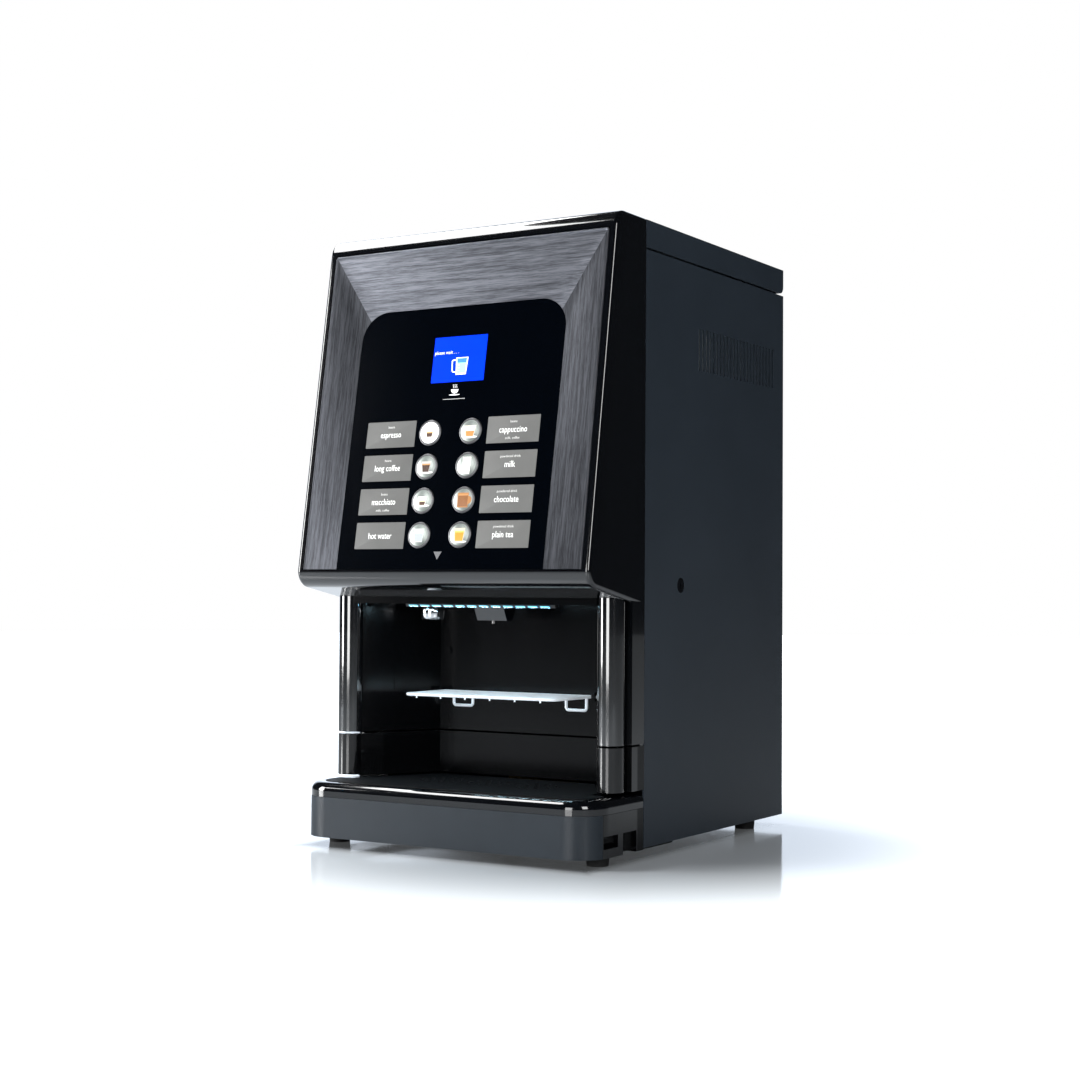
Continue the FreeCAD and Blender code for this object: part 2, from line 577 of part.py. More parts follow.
def make_top_cover():
    """Deep lid over the hoppers, hinged at the rear on two ears."""
    outline = rectangle((SEAM, REAR), (COVER_FOOT, COVER_TOP))
    body = prism("cover_body", "YZ", outline, f"-{HALF}", HALF)
    rear, foot = value(REAR) - 1, value(COVER_FOOT) + 1

    def low_rear(edge):
        return runs_along(edge, "x") and edge.BoundBox.YMin > rear and edge.BoundBox.ZMax < foot

    soften(body, "cover_pivot", low_rear)
    inside = block("cover_inside", (f"cover_wall - {HALF}", f"{HALF} - cover_wall"),
                   (f"{SEAM} + cover_wall", f"{REAR} - cover_wall"), ("0", f"{COVER_TOP} - cover_wall"))
    tube = rod("cover_back_round", "x", "cover_pivot", (COVER_PIN_Y, COVER_PIN_Z), f"-{HALF}", HALF)
    hollow = rod("cover_back_hollow", "x", "cover_pivot - cover_wall", (COVER_PIN_Y, COVER_PIN_Z),
                 f"cover_wall - {HALF}", f"{HALF} - cover_wall")
    behind = block("cover_behind", (f"-{HALF}", HALF), (COVER_PIN_Y, REAR), (COVER_FOOT, COVER_PIN_Z))
    hook = common("cover_hook", cut("cover_tube", tube, [hollow]), behind)
    pieces = [cut("cover_shell", body, [inside]), hook]
    tools = []
    for side in SIDES:
        middle = f"{side}*({HALF} - cover_hinge_inset)"
        for ear_side in SIDES:
            near = f"{middle} + {ear_side}*(hinge_plate/2 + 1 + cover_ear/2)"
            across = (f"{near} - cover_ear/2", f"{near} + cover_ear/2")
            along = (f"{COVER_PIN_Y} - cover_pivot + 2", f"{REAR} - cover_wall")
            pieces.append(block("ear", across, along, (f"{COVER_PIN_Z} - 5", f"{COVER_TOP} - 1")))
        across = (f"{middle} - hinge_plate/2 - 1", f"{middle} + hinge_plate/2 + 1")
        slot_top = f"{COVER_PIN_Z} + cover_pivot"
        tools.append(block("strap_slot", across, (f"{COVER_PIN_Y} - 12", f"{REAR} + 1"), ("0", slot_top)))
        across = (f"{middle} - hinge_plate - 12", f"{middle} + hinge_plate + 12")
        bore = "hinge_pin + run_gap"
        tools.append(rod("ear_bore", "x", bore, (COVER_PIN_Y, COVER_PIN_Z), across[0], across[1]))
    return node("top_cover", cut("cover_cut", fuse("cover_fused", pieces), tools))


def make_hinge_brackets():
    """Two straps and pins for the cover at the rear, and two for the door at the front left."""
    pieces = []
    for side in SIDES:
        middle = f"{side}*({HALF} - cover_hinge_inset)"
        across = (f"{middle} - hinge_plate/2", f"{middle} + hinge_plate/2")
        along = (f"{COVER_PIN_Y} - 5", BACK_INSIDE)
        strap = block("cover_strap", across, along, (f"{PANEL_TOP} - cover_strap", COVER_PIN_Z))
        foot = block("strap_foot", (f"{middle} - 8", f"{middle} + 8"), (f"{BACK_INSIDE} - 2", BACK_INSIDE),
                     (f"{PANEL_TOP} - cover_strap", f"{PANEL_TOP} - 4"))
        head = rod("strap_head", "x", "4.5", (COVER_PIN_Y, COVER_PIN_Z), across[0], across[1])
        pin_ends = (f"{across[0]} - cover_ear - 1", f"{across[1]} + cover_ear + 1")
        pin = rod("cover_pin", "x", "hinge_pin", (COVER_PIN_Y, COVER_PIN_Z), pin_ends[0], pin_ends[1])
        pieces.append(fuse("cover_bracket", [strap, foot, head, pin]))
    for level in DOOR_STRAPS:
        plate = block("door_strap", (f"{PIN_X} - 5", f"{PIN_X} + 5"), (PIN_Y, f"{SEAM} + 0.5"),
                      (level, f"{level} + hinge_plate"))
        heel = block("strap_heel", (f"{PIN_X} - 5", f"{PIN_X} + 5"), (f"{SEAM} + 0.5", f"{SEAM} + 1"),
                     (f"{level} - 3", f"{level} + 6"))
        end = rod("strap_end", "z", "5", (PIN_X, PIN_Y), level, f"{level} + hinge_plate")
        pin = rod("door_hinge_pin", "z", "door_pin", (PIN_X, PIN_Y), level, f"{level} + 22")
        pieces.append(fuse("door_bracket", [plate, heel, end, pin]))
    return node("hinge_brackets", group("brackets", pieces))


def make_lock():
    """Lock barrel through the right panel, with the cam that holds the door's striker."""
    face = f"{HALF} - seat_gap"
    barrel = rod("barrel", "x", "lock_radius", (LOCK_Y, LOCK_Z), f"{HALF} - lock_length", face)
    cam_x = (f"{HALF} - lock_length - cam_thickness", f"{HALF} - lock_length")
    cam = block("cam", cam_x, (f"{LOCK_Y} - cam_length", LOCK_Y),
                (f"{LOCK_Z} - cam_width/2", f"{LOCK_Z} + cam_width/2"))
    hub = rod("cam_hub", "x", "cam_width/2", (LOCK_Y, LOCK_Z), cam_x[0], cam_x[1])
    key = block("key_slot", (f"{face} - 2", HALF), (f"{LOCK_Y} - 0.7", f"{LOCK_Y} + 0.7"),
                (f"{LOCK_Z} - 3.5", f"{LOCK_Z} + 3.5"))
    return node("lock_barrel", cut("lock_cut", fuse("lock_fused", [barrel, cam, hub]), [key]))


def make_power_inlet():
    """Recessed mains inlet with the frame of its rocker switch."""
    flange_x = (f"{INLET_X[0]} - inlet_flange", f"{INLET_X[1]} + inlet_flange")
    flange_z = (f"{INLET_Z[0]} - inlet_flange", f"{INLET_Z[1]} + inlet_flange")
    inside = f"{BACK_INSIDE} - seat_gap"
    flange = block("inlet_flange_plate", flange_x, (f"{inside} - inlet_lip", inside), flange_z)
    case = block("inlet_case", (f"{INLET_X[0]} + seat_gap", f"{INLET_X[1]} - seat_gap"),
                 (f"{REAR_FACE} - inlet_depth", REAR_FACE),
                 (f"{INLET_Z[0]} + seat_gap", f"{INLET_Z[1]} - seat_gap"))
    socket = block("inlet_socket", (f"-inlet_side - 12", "12 - inlet_side"),
                   (f"{REAR_FACE} - 17", f"{REAR_FACE} + 1"),
                   ("inlet_foot + 5", "inlet_foot + 23"))
    rocker_hole = block("rocker_hole", (f"-inlet_side - rocker_width/2 - 1",
                                        "rocker_width/2 + 1 - inlet_side"),
                        (f"{REAR_FACE} - 15", f"{REAR_FACE} + 1"),
                        (f"{ROCKER_Z} - rocker_height/2 - 2", f"{ROCKER_Z} + rocker_height/2 + 2"))
    pins = []
    for offset, level in ((-7, 12), (7, 12), (0, 17)):
        pins.append(block("inlet_pin", (f"{offset} - inlet_side - 1", f"{offset} - inlet_side + 1"),
                          (f"{REAR_FACE} - 18", f"{REAR_FACE} - 5"),
                          (f"inlet_foot + {level} - 2", f"inlet_foot + {level} + 2")))
    shell = cut("inlet_cut", fuse("inlet_fused", [flange, case]), [socket, rocker_hole])
    return node("power_inlet", fuse("inlet_whole", [shell] + pins))


def make_rocker():
    """Rocker of the main switch, which tips about its own level axis."""
    body = block("rocker_body", ("-inlet_side - rocker_width/2", "rocker_width/2 - inlet_side"),
                 (f"{REAR_FACE} - rocker_depth", f"{REAR_FACE} - 2.5"),
                 (f"{ROCKER_Z} - rocker_height/2", f"{ROCKER_Z} + rocker_height/2"))
    groove = rod("rocker_hollow", "x", "rocker_height", (f"{REAR_FACE} + rocker_height - 4.5", ROCKER_Z),
                 "-inlet_side - rocker_width", "rocker_width - inlet_side")
    axle = rod("rocker_axle", "x", "1.5", (f"{REAR_FACE} - rocker_depth", ROCKER_Z),
               "-inlet_side - rocker_width/2 - 0.8", "rocker_width/2 + 0.8 - inlet_side")
    return node("power_rocker", fuse("rocker_fused", [cut("rocker_cut", body, [groove]), axle]))


def make_screws():
    """Pan-head screws that hold the rear panel, as one set."""
    screws = []
    for centre in screw_places():
        head = rod("screw_top", "y", "screw_radius", centre, REAR_FACE, f"{REAR_FACE} + screw_head")
        shank = rod("screw_thread", "y", "screw_shank", centre, f"{BACK_INSIDE} - 2", REAR_FACE)
        screws.append(fuse("screw", [head, shank]))
    return node("panel_screws", group("screws", screws))


# ---------------------------------------------------------------- works on and under the shelf


def open_box(name, across, along, up, wall):
    """Box with an open top and one wall thickness."""
    outer = block(f"{name}_outer", across, along, up)
    inner = block(f"{name}_inner", (f"{across[0]} + {wall}", f"{across[1]} - {wall}"),
                  (f"{along[0]} + {wall}", f"{along[1]} - {wall}"), (f"{up[0]} + {wall}", f"{up[1]} + 1"))
    return cut(f"{name}_open", outer, [inner])


def make_water_tank():
    """Open-topped water tank at the rear left."""
    across = (f"wall_gap - {INNER}", f"wall_gap - {INNER} + tank_width")
    along = (f"{BACK_INSIDE} - tank_back - tank_depth", f"{BACK_INSIDE} - tank_back")
    return node("water_tank", open_box("tank", across, along, (WORKS_TOP, f"{WORKS_TOP} + tank_height"),
                                       "tank_wall"))


def make_boiler():
    """Upright boiler on the deck, with its flanged lid and two pipe stubs."""
    centre = ("-boiler_side", f"{SEAM} + boiler_back")
    head = "deck_height + boiler_height"
    shell = rod("boiler_shell", "z", "boiler_radius", centre, "deck_height", head)
    cap = rod("boiler_cap_plate", "z", "boiler_radius + 4", centre, head, f"{head} + boiler_cap")
    stubs = [rod("boiler_stub", "z", "4", (f"{centre[0]} + {offset}", centre[1]), head,
                 f"{head} + boiler_cap + 14")
             for offset in (-15, 15)]
    return node("boiler", fuse("boiler_fused", [shell, cap] + stubs))


def make_pump():
    """Vibration pump lying on the floor pan on two rubber feet."""
    foot = "foot_height + sheet"
    level = f"{foot} + pump_foot + pump_radius"
    back = f"{SEAM} + pump_back"
    body = rod("pump_body", "y", "pump_radius", ("-pump_side", level), back, f"{back} + pump_length")
    spigot = rod("pump_spigot", "y", "5", ("-pump_side", level), f"{back} - 12", f"{back} + pump_length + 12")
    feet = [block("pump_foot_block", ("-pump_side - 14", "14 - pump_side"),
                  (f"{back} + {start}", f"{back} + {start} + 12"),
                  (foot, level)) for start in (6, 60)]
    return node("pump", fuse("pump_fused", [body, spigot] + feet))


def canister_middle(index):
    """Give the X place of one canister, counted from the left."""
    return f"(wall_gap - {INNER} + canister_width/2 + {index}*(canister_width + canister_gap))"


def make_canisters():
    """Three powder canisters, each with a trough outlet at the front, as one set."""
    canisters = []
    for index in range(int(value("canister_count"))):
        middle = canister_middle(index)
        across = (f"{middle} - canister_width/2", f"{middle} + canister_width/2")
        shell = open_box("canister", across, (CANISTER_Y, CANISTER_BACK),
                         (WORKS_TOP, f"{WORKS_TOP} + canister_height"), "canister_wall")
        mouth = f"{CANISTER_Y} - spout_pipe_reach"
        pipe = rod("canister_pipe", "y", "spout_pipe", (middle, AUGER_Z), mouth, CANISTER_Y)
        bore = rod("canister_bore", "y", "spout_pipe - spout_pipe_wall", (middle, AUGER_Z),
                   f"{mouth} + spout_pipe_wall", f"{CANISTER_Y} + canister_wall + 1")
        drop = block("canister_drop", (f"{middle} - 7", f"{middle} + 7"), (f"{mouth} + 3", f"{mouth} + 15"),
                     (f"{AUGER_Z} - spout_pipe - 1", AUGER_Z))
        axle = rod("canister_axle_hole", "y", "shaft_radius + run_gap", (middle, AUGER_Z),
                   f"{CANISTER_BACK} - canister_wall - 1", f"{CANISTER_BACK} + 1")
        canisters.append(cut("canister_whole", fuse("canister_fused", [shell, pipe]), [bore, drop, axle]))
    return node("powder_canisters", group("canisters", canisters))


def make_auger(index, label):
    """Auger of one canister: slanted paddles set round a shaft, with the hub that its motor turns."""
    middle = canister_middle(index)
    front = f"({CANISTER_Y} - spout_pipe_reach + spout_pipe_wall + 1)"
    back = f"({CANISTER_BACK} - canister_wall - 1)"
    shaft = rod("auger_shaft", "y", "shaft_radius", (middle, AUGER_Z), front, CANISTER_BACK)
    hub = rod("auger_hub", "y", "auger_radius", (middle, AUGER_Z), f"{back} - 6", back)
    pieces = [shaft, hub]
    count = int(value(f"({back} - {front} - 14)/auger_step"))
    for step in range(count):
        paddle = block("auger_paddle", ("0", "2*auger_radius"), ("0", "auger_sheet"), ("0", "auger_blade"))
        turn = Rotation(Vector(0, 1, 0), step * AUGER_TURN)
        paddle.Placement = Placement(Vector(), turn)
        corner = turn.multVec(Vector(-1, 0, 0))
        side = turn.multVec(Vector(0, 0, -1))
        paddle.setExpression("Placement.Base.x",
                             bound(f"{middle} + {corner.x}*auger_radius + {side.x}*auger_blade/2"))
        paddle.setExpression("Placement.Base.y", bound(f"{front} + 3 + {step}*auger_step"))
        paddle.setExpression("Placement.Base.z",
                             bound(f"{AUGER_Z} + {corner.z}*auger_radius + {side.z}*auger_blade/2"))
        pieces.append(paddle)
    return node(label, fuse("auger_fused", pieces))


def motor(name, axis, centre, low, forward):
    """Round geared motor whose shaft end faces up its axis, or down it."""
    high = f"{low} + motor_length"
    body = rod(f"{name}_can", axis, "motor_radius", centre, low, high)
    gear = (high, f"{high} + 3") if forward else (f"{low} - 3", low)
    return fuse(name, [body, rod(f"{name}_boss", axis, "motor_radius/2", centre, gear[0], gear[1])])


def make_gear_motors():
    """Small geared motors of the augers, the mixer and the brewer, as one set."""
    back = f"{CANISTER_BACK} + seat_gap + 3"
    motors = [motor("auger_motor", "y", (canister_middle(index), AUGER_Z), back, False)
              for index in range(int(value("canister_count")))]
    motors.append(motor("mixer_motor", "y", (WHIP_X, WHIP_Z), f"{MIXER_PLATE} + deck_sheet + seat_gap + 3",
                        False))
    motors.append(motor("brew_motor", "z", (BREW_X, SPINDLE_Y),
                        f"{BREW_FOOT} - seat_gap - 3 - motor_length", True))
    return node("gear_motors", group("motors", motors))


def make_mixer_bowl():
    """Funnel under the three powder outlets, with the whipping chamber and its outlet below."""
    left, right = canister_middle(0), canister_middle(2)
    across = (f"{left} - 14", f"{right} + 14")
    along = (BOWL_FRONT, f"{BOWL_FRONT} + bowl_depth")
    outer = [(across[0], BOWL_HEAD), (across[0], f"{BOWL_HEAD} - 12"),
             (f"{WHIP_X} - whip_radius*0.8", BOWL_FOOT),
             (f"{WHIP_X} + whip_radius*0.8", BOWL_FOOT), (across[1], f"{BOWL_HEAD} - 12"),
             (across[1], BOWL_HEAD)]
    inner = [(f"{across[0]} + bowl_wall", f"{BOWL_HEAD} + 1"),
             (f"{across[0]} + bowl_wall", f"{BOWL_HEAD} - 11"),
             (f"{WHIP_X} - whip_radius*0.8 + 3", f"{BOWL_FOOT} - 1"),
             (f"{WHIP_X} + whip_radius*0.8 - 3", f"{BOWL_FOOT} - 1"),
             (f"{across[1]} - bowl_wall", f"{BOWL_HEAD} - 11"),
             (f"{across[1]} - bowl_wall", f"{BOWL_HEAD} + 1")]
    funnel = prism("bowl_funnel", "XZ", outer, along[0], along[1])
    hollow = prism("bowl_hollow", "XZ", inner, f"{along[0]} + bowl_wall", f"{along[1]} - bowl_wall")
    whip_back = f"{BOWL_FRONT} + whip_depth"
    drum = rod("whip_drum", "y", "whip_radius", (WHIP_X, WHIP_Z), BOWL_FRONT, whip_back)
    drum_bore = rod("whip_bore", "y", "whip_radius - bowl_wall", (WHIP_X, WHIP_Z),
                    f"{BOWL_FRONT} + bowl_wall", f"{whip_back} - bowl_wall")
    outlet = rod("whip_outlet", "z", "outlet_radius + bowl_wall", (WHIP_X, f"{BOWL_FRONT} + 10"),
                 f"{WHIP_Z} - whip_radius - 28", f"{WHIP_Z} - whip_radius + 6")
    outlet_bore = rod("whip_outlet_bore", "z", "outlet_radius", (WHIP_X, f"{BOWL_FRONT} + 10"),
                      f"{WHIP_Z} - whip_radius - 29", WHIP_Z)
    throat = block("whip_throat", (f"{WHIP_X} - 12", f"{WHIP_X} + 12"),
                   (f"{along[0]} + bowl_wall", f"{along[1]} - bowl_wall"), (WHIP_Z, f"{BOWL_FOOT} + 1"))
    shaft = rod("whip_shaft_hole", "y", "shaft_radius + run_gap", (WHIP_X, WHIP_Z), whip_back + " - 5",
                f"{whip_back} + 1")
    body = fuse("bowl_fused", [funnel, drum, outlet])
    return node("mixer_bowl", cut("bowl_cut", body, [hollow, drum_bore, outlet_bore, throat, shaft]))


def make_impeller():
    """Whipping impeller: a hub with blades patterned round it, and its shaft."""
    hub = prism("impeller_blade", "XZ", rectangle(("0", "whip_radius - 5"), ("-1", "1")), "0", "10")
    document.recompute()
    pattern = hub.newObject("PartDesign::PolarPattern", "impeller_pattern")
    pattern.Originals = [hub.Tip]
    pattern.Axis = (next(axis for axis in hub.Origin.OriginFeatures if axis.Role == "Y_Axis"), [""])
    pattern.Angle = FULL_TURN
    pattern.Occurrences = 6
    hub.Tip = pattern
    hub.setExpression("Placement.Base.x", bound(WHIP_X))
    hub.setExpression("Placement.Base.y", bound(f"{BOWL_FRONT} + bowl_wall + 3"))
    hub.setExpression("Placement.Base.z", bound(WHIP_Z))
    shaft = rod("impeller_shaft", "y", "shaft_radius", (WHIP_X, WHIP_Z), f"{BOWL_FRONT} + bowl_wall + 3",
                f"{MIXER_PLATE} + 2")
    return node("mixer_impeller", fuse("impeller_fused", [hub, shaft]))


def make_hopper():
    """Bean hopper over the grinder, with its throat in the floor."""
    across = (f"{GRINDER_X} - hopper_width/2", f"{GRINDER_X} + hopper_width/2")
    foot = f"{GRINDER_HEAD} + seat_gap"
    shell = open_box("hopper", across, (CANISTER_Y, f"{CANISTER_Y} + hopper_depth"),
                     (foot, f"{foot} + hopper_height"), "hopper_wall")
    throat = rod("hopper_throat", "z", "throat_radius", (GRINDER_X, GRINDER_Y), f"{foot} - 1",
                 f"{foot} + hopper_wall + 1")
    return node("bean_hopper", cut("hopper_cut", shell, [throat]))


def make_hopper_lid():
    """Drop-on lid of the bean hopper, with a grip bar."""
    head = f"{GRINDER_HEAD} + seat_gap + hopper_height"
    plate = block("lid_plate", (f"{GRINDER_X} - hopper_width/2", f"{GRINDER_X} + hopper_width/2"),
                  (CANISTER_Y, f"{CANISTER_Y} + hopper_depth"), (head, f"{head} + lid_sheet"))
    lip = block("lid_lip", (f"{GRINDER_X} - hopper_width/2 + hopper_wall + 1",
                            f"{GRINDER_X} + hopper_width/2 - hopper_wall - 1"),
                (f"{CANISTER_Y} + hopper_wall + 1", f"{CANISTER_Y} + hopper_depth - hopper_wall - 1"),
                (f"{head} - 3", head))
    grip = block("lid_grip", (f"{GRINDER_X} - 20", f"{GRINDER_X} + 20"),
                 (f"{GRINDER_Y} - 3", f"{GRINDER_Y} + 3"),
                 (head, f"{head} + lid_sheet + 8"))
    return node("hopper_lid", fuse("lid_fused", [plate, lip, grip]))


def make_grinder():
    """Grinder body with the bowl that the upper burr turns in."""
    centre = (GRINDER_X, GRINDER_Y)
    body = rod("grinder_can", "z", "grinder_radius", centre, WORKS_TOP, GRINDER_HEAD)
    bowl = rod("grinder_bowl_hole", "z", "grinder_bore", centre, f"{GRINDER_HEAD} - grinder_bowl",
               f"{GRINDER_HEAD} + 1")
    bore = rod("grinder_shaft_hole", "z", "shaft_radius + run_gap", centre, f"{GRINDER_HEAD} - 40",
               GRINDER_HEAD)
    return node("grinder_body", cut("grinder_cut", body, [bowl, bore]))


def make_burr():
    """Conical burr on its shaft."""
    centre = (GRINDER_X, GRINDER_Y)
    foot = f"{GRINDER_HEAD} - grinder_bowl + 1.5"
    cone = taper("burr_cone", "z", "burr_radius", "burr_radius/2", centre, foot, f"{foot} + burr_height")
    shaft = rod("burr_shaft", "z", "shaft_radius", centre, f"{GRINDER_HEAD} - 38", foot)
    slots = []
    for side in SIDES:
        slots.append(block("burr_slot", mirrored(side, f"9 + {side}*{GRINDER_X}", f"30 + {side}*{GRINDER_X}"),
                           (f"{GRINDER_Y} - 1.5", f"{GRINDER_Y} + 1.5"), (f"{foot} + 2", f"{foot} + 40")))
    return node("grinder_burr", cut("burr_cut", fuse("burr_fused", [cone, shaft]), slots))


def make_brew_frame():
    """Brewer frame that hangs under the shelf, with the brewing chamber on its back plate."""
    across = (f"{BREW_X} - brew_width/2", f"{BREW_X} + brew_width/2")
    along = (BREW_FRONT, f"{BREW_FRONT} + brew_depth")
    centre = (BREW_X, BREW_Y)
    pieces = [
        block("brew_top", across, along, (f"{BREW_HEAD} - brew_plate", BREW_HEAD)),
        block("brew_floor", across, along, (BREW_FOOT, f"{BREW_FOOT} + brew_plate")),
        block("brew_back", across, (f"{along[1]} - brew_plate", along[1]), (BREW_FOOT, BREW_HEAD)),
        rod("chamber", "z", "chamber_radius", centre, CHAMBER_FOOT, CHAMBER_HEAD),
    ]
    for side in SIDES:
        arm = mirrored(side, f"14 + {side}*{BREW_X}", f"22 + {side}*{BREW_X}")
        pieces.append(block("chamber_arm", arm, (BREW_Y, along[1]),
                            (f"{CHAMBER_FOOT} + 10", f"{CHAMBER_HEAD} - 10")))
    tools = [
        rod("chamber_bore", "z", "chamber_radius - chamber_wall", centre, f"{CHAMBER_FOOT} - 1",
            f"{CHAMBER_HEAD} + 1"),
        rod("spindle_bores", "z", "spindle_radius + run_gap", (BREW_X, SPINDLE_Y), f"{BREW_FOOT} - 1",
            f"{BREW_HEAD} + 1"),
        rod("chute_bore", "z", "outlet_radius*2", (GRINDER_X, GRINDER_Y), f"{BREW_HEAD} - brew_plate - 1",
            f"{BREW_HEAD} + 1"),
    ]
    return node("brew_frame", cut("brew_cut", fuse("brew_fused", pieces), tools))


def make_piston():
    """Brewing piston on its rod, with the yoke and nut that the spindle drives."""
    centre = (BREW_X, BREW_Y)
    foot = f"{CHAMBER_FOOT} + piston_rest"
    yoke = (f"{CHAMBER_FOOT} - 32", f"{CHAMBER_FOOT} - 32 + yoke_height")
    pieces = [
        rod("piston_head", "z", "chamber_radius - chamber_wall - piston_gap", centre, foot,
            f"{foot} + piston_height"),
        rod("piston_stem", "z", "piston_rod", centre, yoke[0], foot),
        block("yoke", (f"{BREW_X} - 10", f"{BREW_X} + 10"), (f"{BREW_Y} - 10", f"{SPINDLE_Y} + 10"), yoke),
    ]
    bore = rod("nut_bore", "z", "spindle_radius + run_gap", (BREW_X, SPINDLE_Y), f"{yoke[0]} - 1",
               f"{yoke[1]} + 1")
    return node("brew_piston", cut("piston_cut", fuse("piston_fused", pieces), [bore]))


def make_spindle():
    """Upright spindle of the brewer, drawn with a plain shank for its thread."""
    shank = rod("spindle_shank", "z", "spindle_radius", (BREW_X, SPINDLE_Y), BREW_FOOT, f"{BREW_HEAD} - 0.5")
    collar = rod("spindle_collar", "z", "spindle_radius + 3", (BREW_X, SPINDLE_Y),
                 f"{BREW_FOOT} + brew_plate + seat_gap",
                 f"{BREW_FOOT} + brew_plate + 4")
    return node("brew_spindle", fuse("spindle_fused", [shank, collar]))


def make_grounds_bin():
    """Container for used grounds, on the deck under the brewer."""
    across = (f"{BREW_X} - bin_width/2", f"{BREW_X} + bin_width/2")
    along = (f"{NICHE_BACK} + wall_gap", f"{NICHE_BACK} + wall_gap + bin_depth")
    return node("grounds_container", open_box("bin", across, along,
                                              ("deck_height", "deck_height + bin_height"), "bin_wall"))


def make_power_supply():
    """Power supply behind the side vents, with a row of cooling fins."""
    across = (f"{INNER} - wall_gap - supply_width", f"{INNER} - wall_gap")
    along = (f"{SEAM} + supply_front", f"{SEAM} + supply_front + supply_depth")
    box = block("supply_box", (across[0], f"{across[1]} - 10"), along,
                (WORKS_TOP, f"{WORKS_TOP} + supply_height"))
    count = int(value("fin_count"))
    fins = [block("fin", (f"{across[1]} - 10", across[1]),
                  (f"{along[0]} + {index}*(supply_depth - 2)/({count} - 1)",
                   f"{along[0]} + {index}*(supply_depth - 2)/({count} - 1) + 2"),
                  (WORKS_TOP, f"{WORKS_TOP} + supply_height")) for index in range(count)]
    return node("power_supply", fuse("supply_fused", [box] + fins))


def make_fan_frame():
    """Square fan frame on the rear panel, with the spider that carries the rotor."""
    back = f"{BACK_INSIDE} - seat_gap"
    along = (f"{back} - fan_depth", back)
    frame = block("fan_square", ("-fan_side - fan_size/2", "fan_size/2 - fan_side"), along,
                  ("fan_height - fan_size/2", "fan_height + fan_size/2"))
    bore = rod("fan_round", "y", "fan_bore", ("-fan_side", "fan_height"), f"{along[0]} - 1",
               f"{along[1]} + 1")
    pieces = [cut("fan_ring", frame, [bore])]
    spider = (along[0], f"{along[0]} + 3")
    pieces.append(block("fan_bar", ("-fan_side - fan_bore - 1", "fan_bore + 1 - fan_side"), spider,
                        ("fan_height - 2", "fan_height + 2")))
    pieces.append(block("fan_post", ("-fan_side - 2", "2 - fan_side"), spider,
                        ("fan_height - fan_bore - 1", "fan_height + fan_bore + 1")))
    pieces.append(rod("fan_boss", "y", "fan_hub", ("-fan_side", "fan_height"), along[0], f"{along[0]} + 5"))
    pieces.append(rod("fan_axle", "y", "shaft_radius", ("-fan_side", "fan_height"), along[0],
                      f"{along[0]} + 14"))
    return node("fan_frame", fuse("fan_frame_fused", pieces))


def make_fan_rotor():
    """Fan rotor: a hub cup with seven blades patterned round it."""
    blade = [("fan_hub - 2", "-1"), ("fan_blade", "-2"), ("fan_blade", "6"), ("fan_hub - 2", "3")]
    body = prism("rotor_blade", "XZ", blade, "0", "1.6")
    document.recompute()
    pattern = body.newObject("PartDesign::PolarPattern", "rotor_pattern")
    pattern.Originals = [body.Tip]
    pattern.Axis = (next(axis for axis in body.Origin.OriginFeatures if axis.Role == "Y_Axis"), [""])
    pattern.Angle = FULL_TURN
    pattern.Occurrences = 7
    body.Tip = pattern
    front = f"{BACK_INSIDE} - seat_gap - fan_depth + 6"
    body.setExpression("Placement.Base.x", bound("-fan_side"))
    body.setExpression("Placement.Base.y", bound(f"{front} + 6"))
    body.setExpression("Placement.Base.z", bound("fan_height"))
    hub = rod("rotor_hub", "y", "fan_hub", ("-fan_side", "fan_height"), front, f"{front} + 14")
    bore = rod("rotor_bore", "y", "shaft_radius + run_gap", ("-fan_side", "fan_height"), f"{front} - 1",
               f"{front} + 9")
    return node("fan_rotor", cut("rotor_cut", fuse("rotor_fused", [body, hub]), [bore]))


# ---------------------------------------------------------------- door


def door_profile(front_set, top_set, low_set, back):
    """Give the side outline of the door's upper body, drawn in by a set at the front, top and underside."""
    front = f"({NOSE} + ({front_set})/cos(front_tilt))"
    belly = f"({BELLY} + ({low_set})/cos(belly_slope))"
    rise = f"({belly} + {LOW_SLOPE}*({CHEEK_FRONT} - {front} + {FRONT_SLOPE}*{LINE}))"
    corner_z = f"({rise}/(1 + {FRONT_SLOPE}*{LOW_SLOPE}))"
    corner_y = f"({front} + {FRONT_SLOPE}*({corner_z} - {LINE}))"
    top = f"(height - ({top_set}))"
    return [
        (back, top),
        (f"{front} + {FRONT_SLOPE}*({top} - {LINE})", top),
        (corner_y, corner_z),
        (back, f"{belly} - {LOW_SLOPE}*({back} - {CHEEK_FRONT})"),
    ]


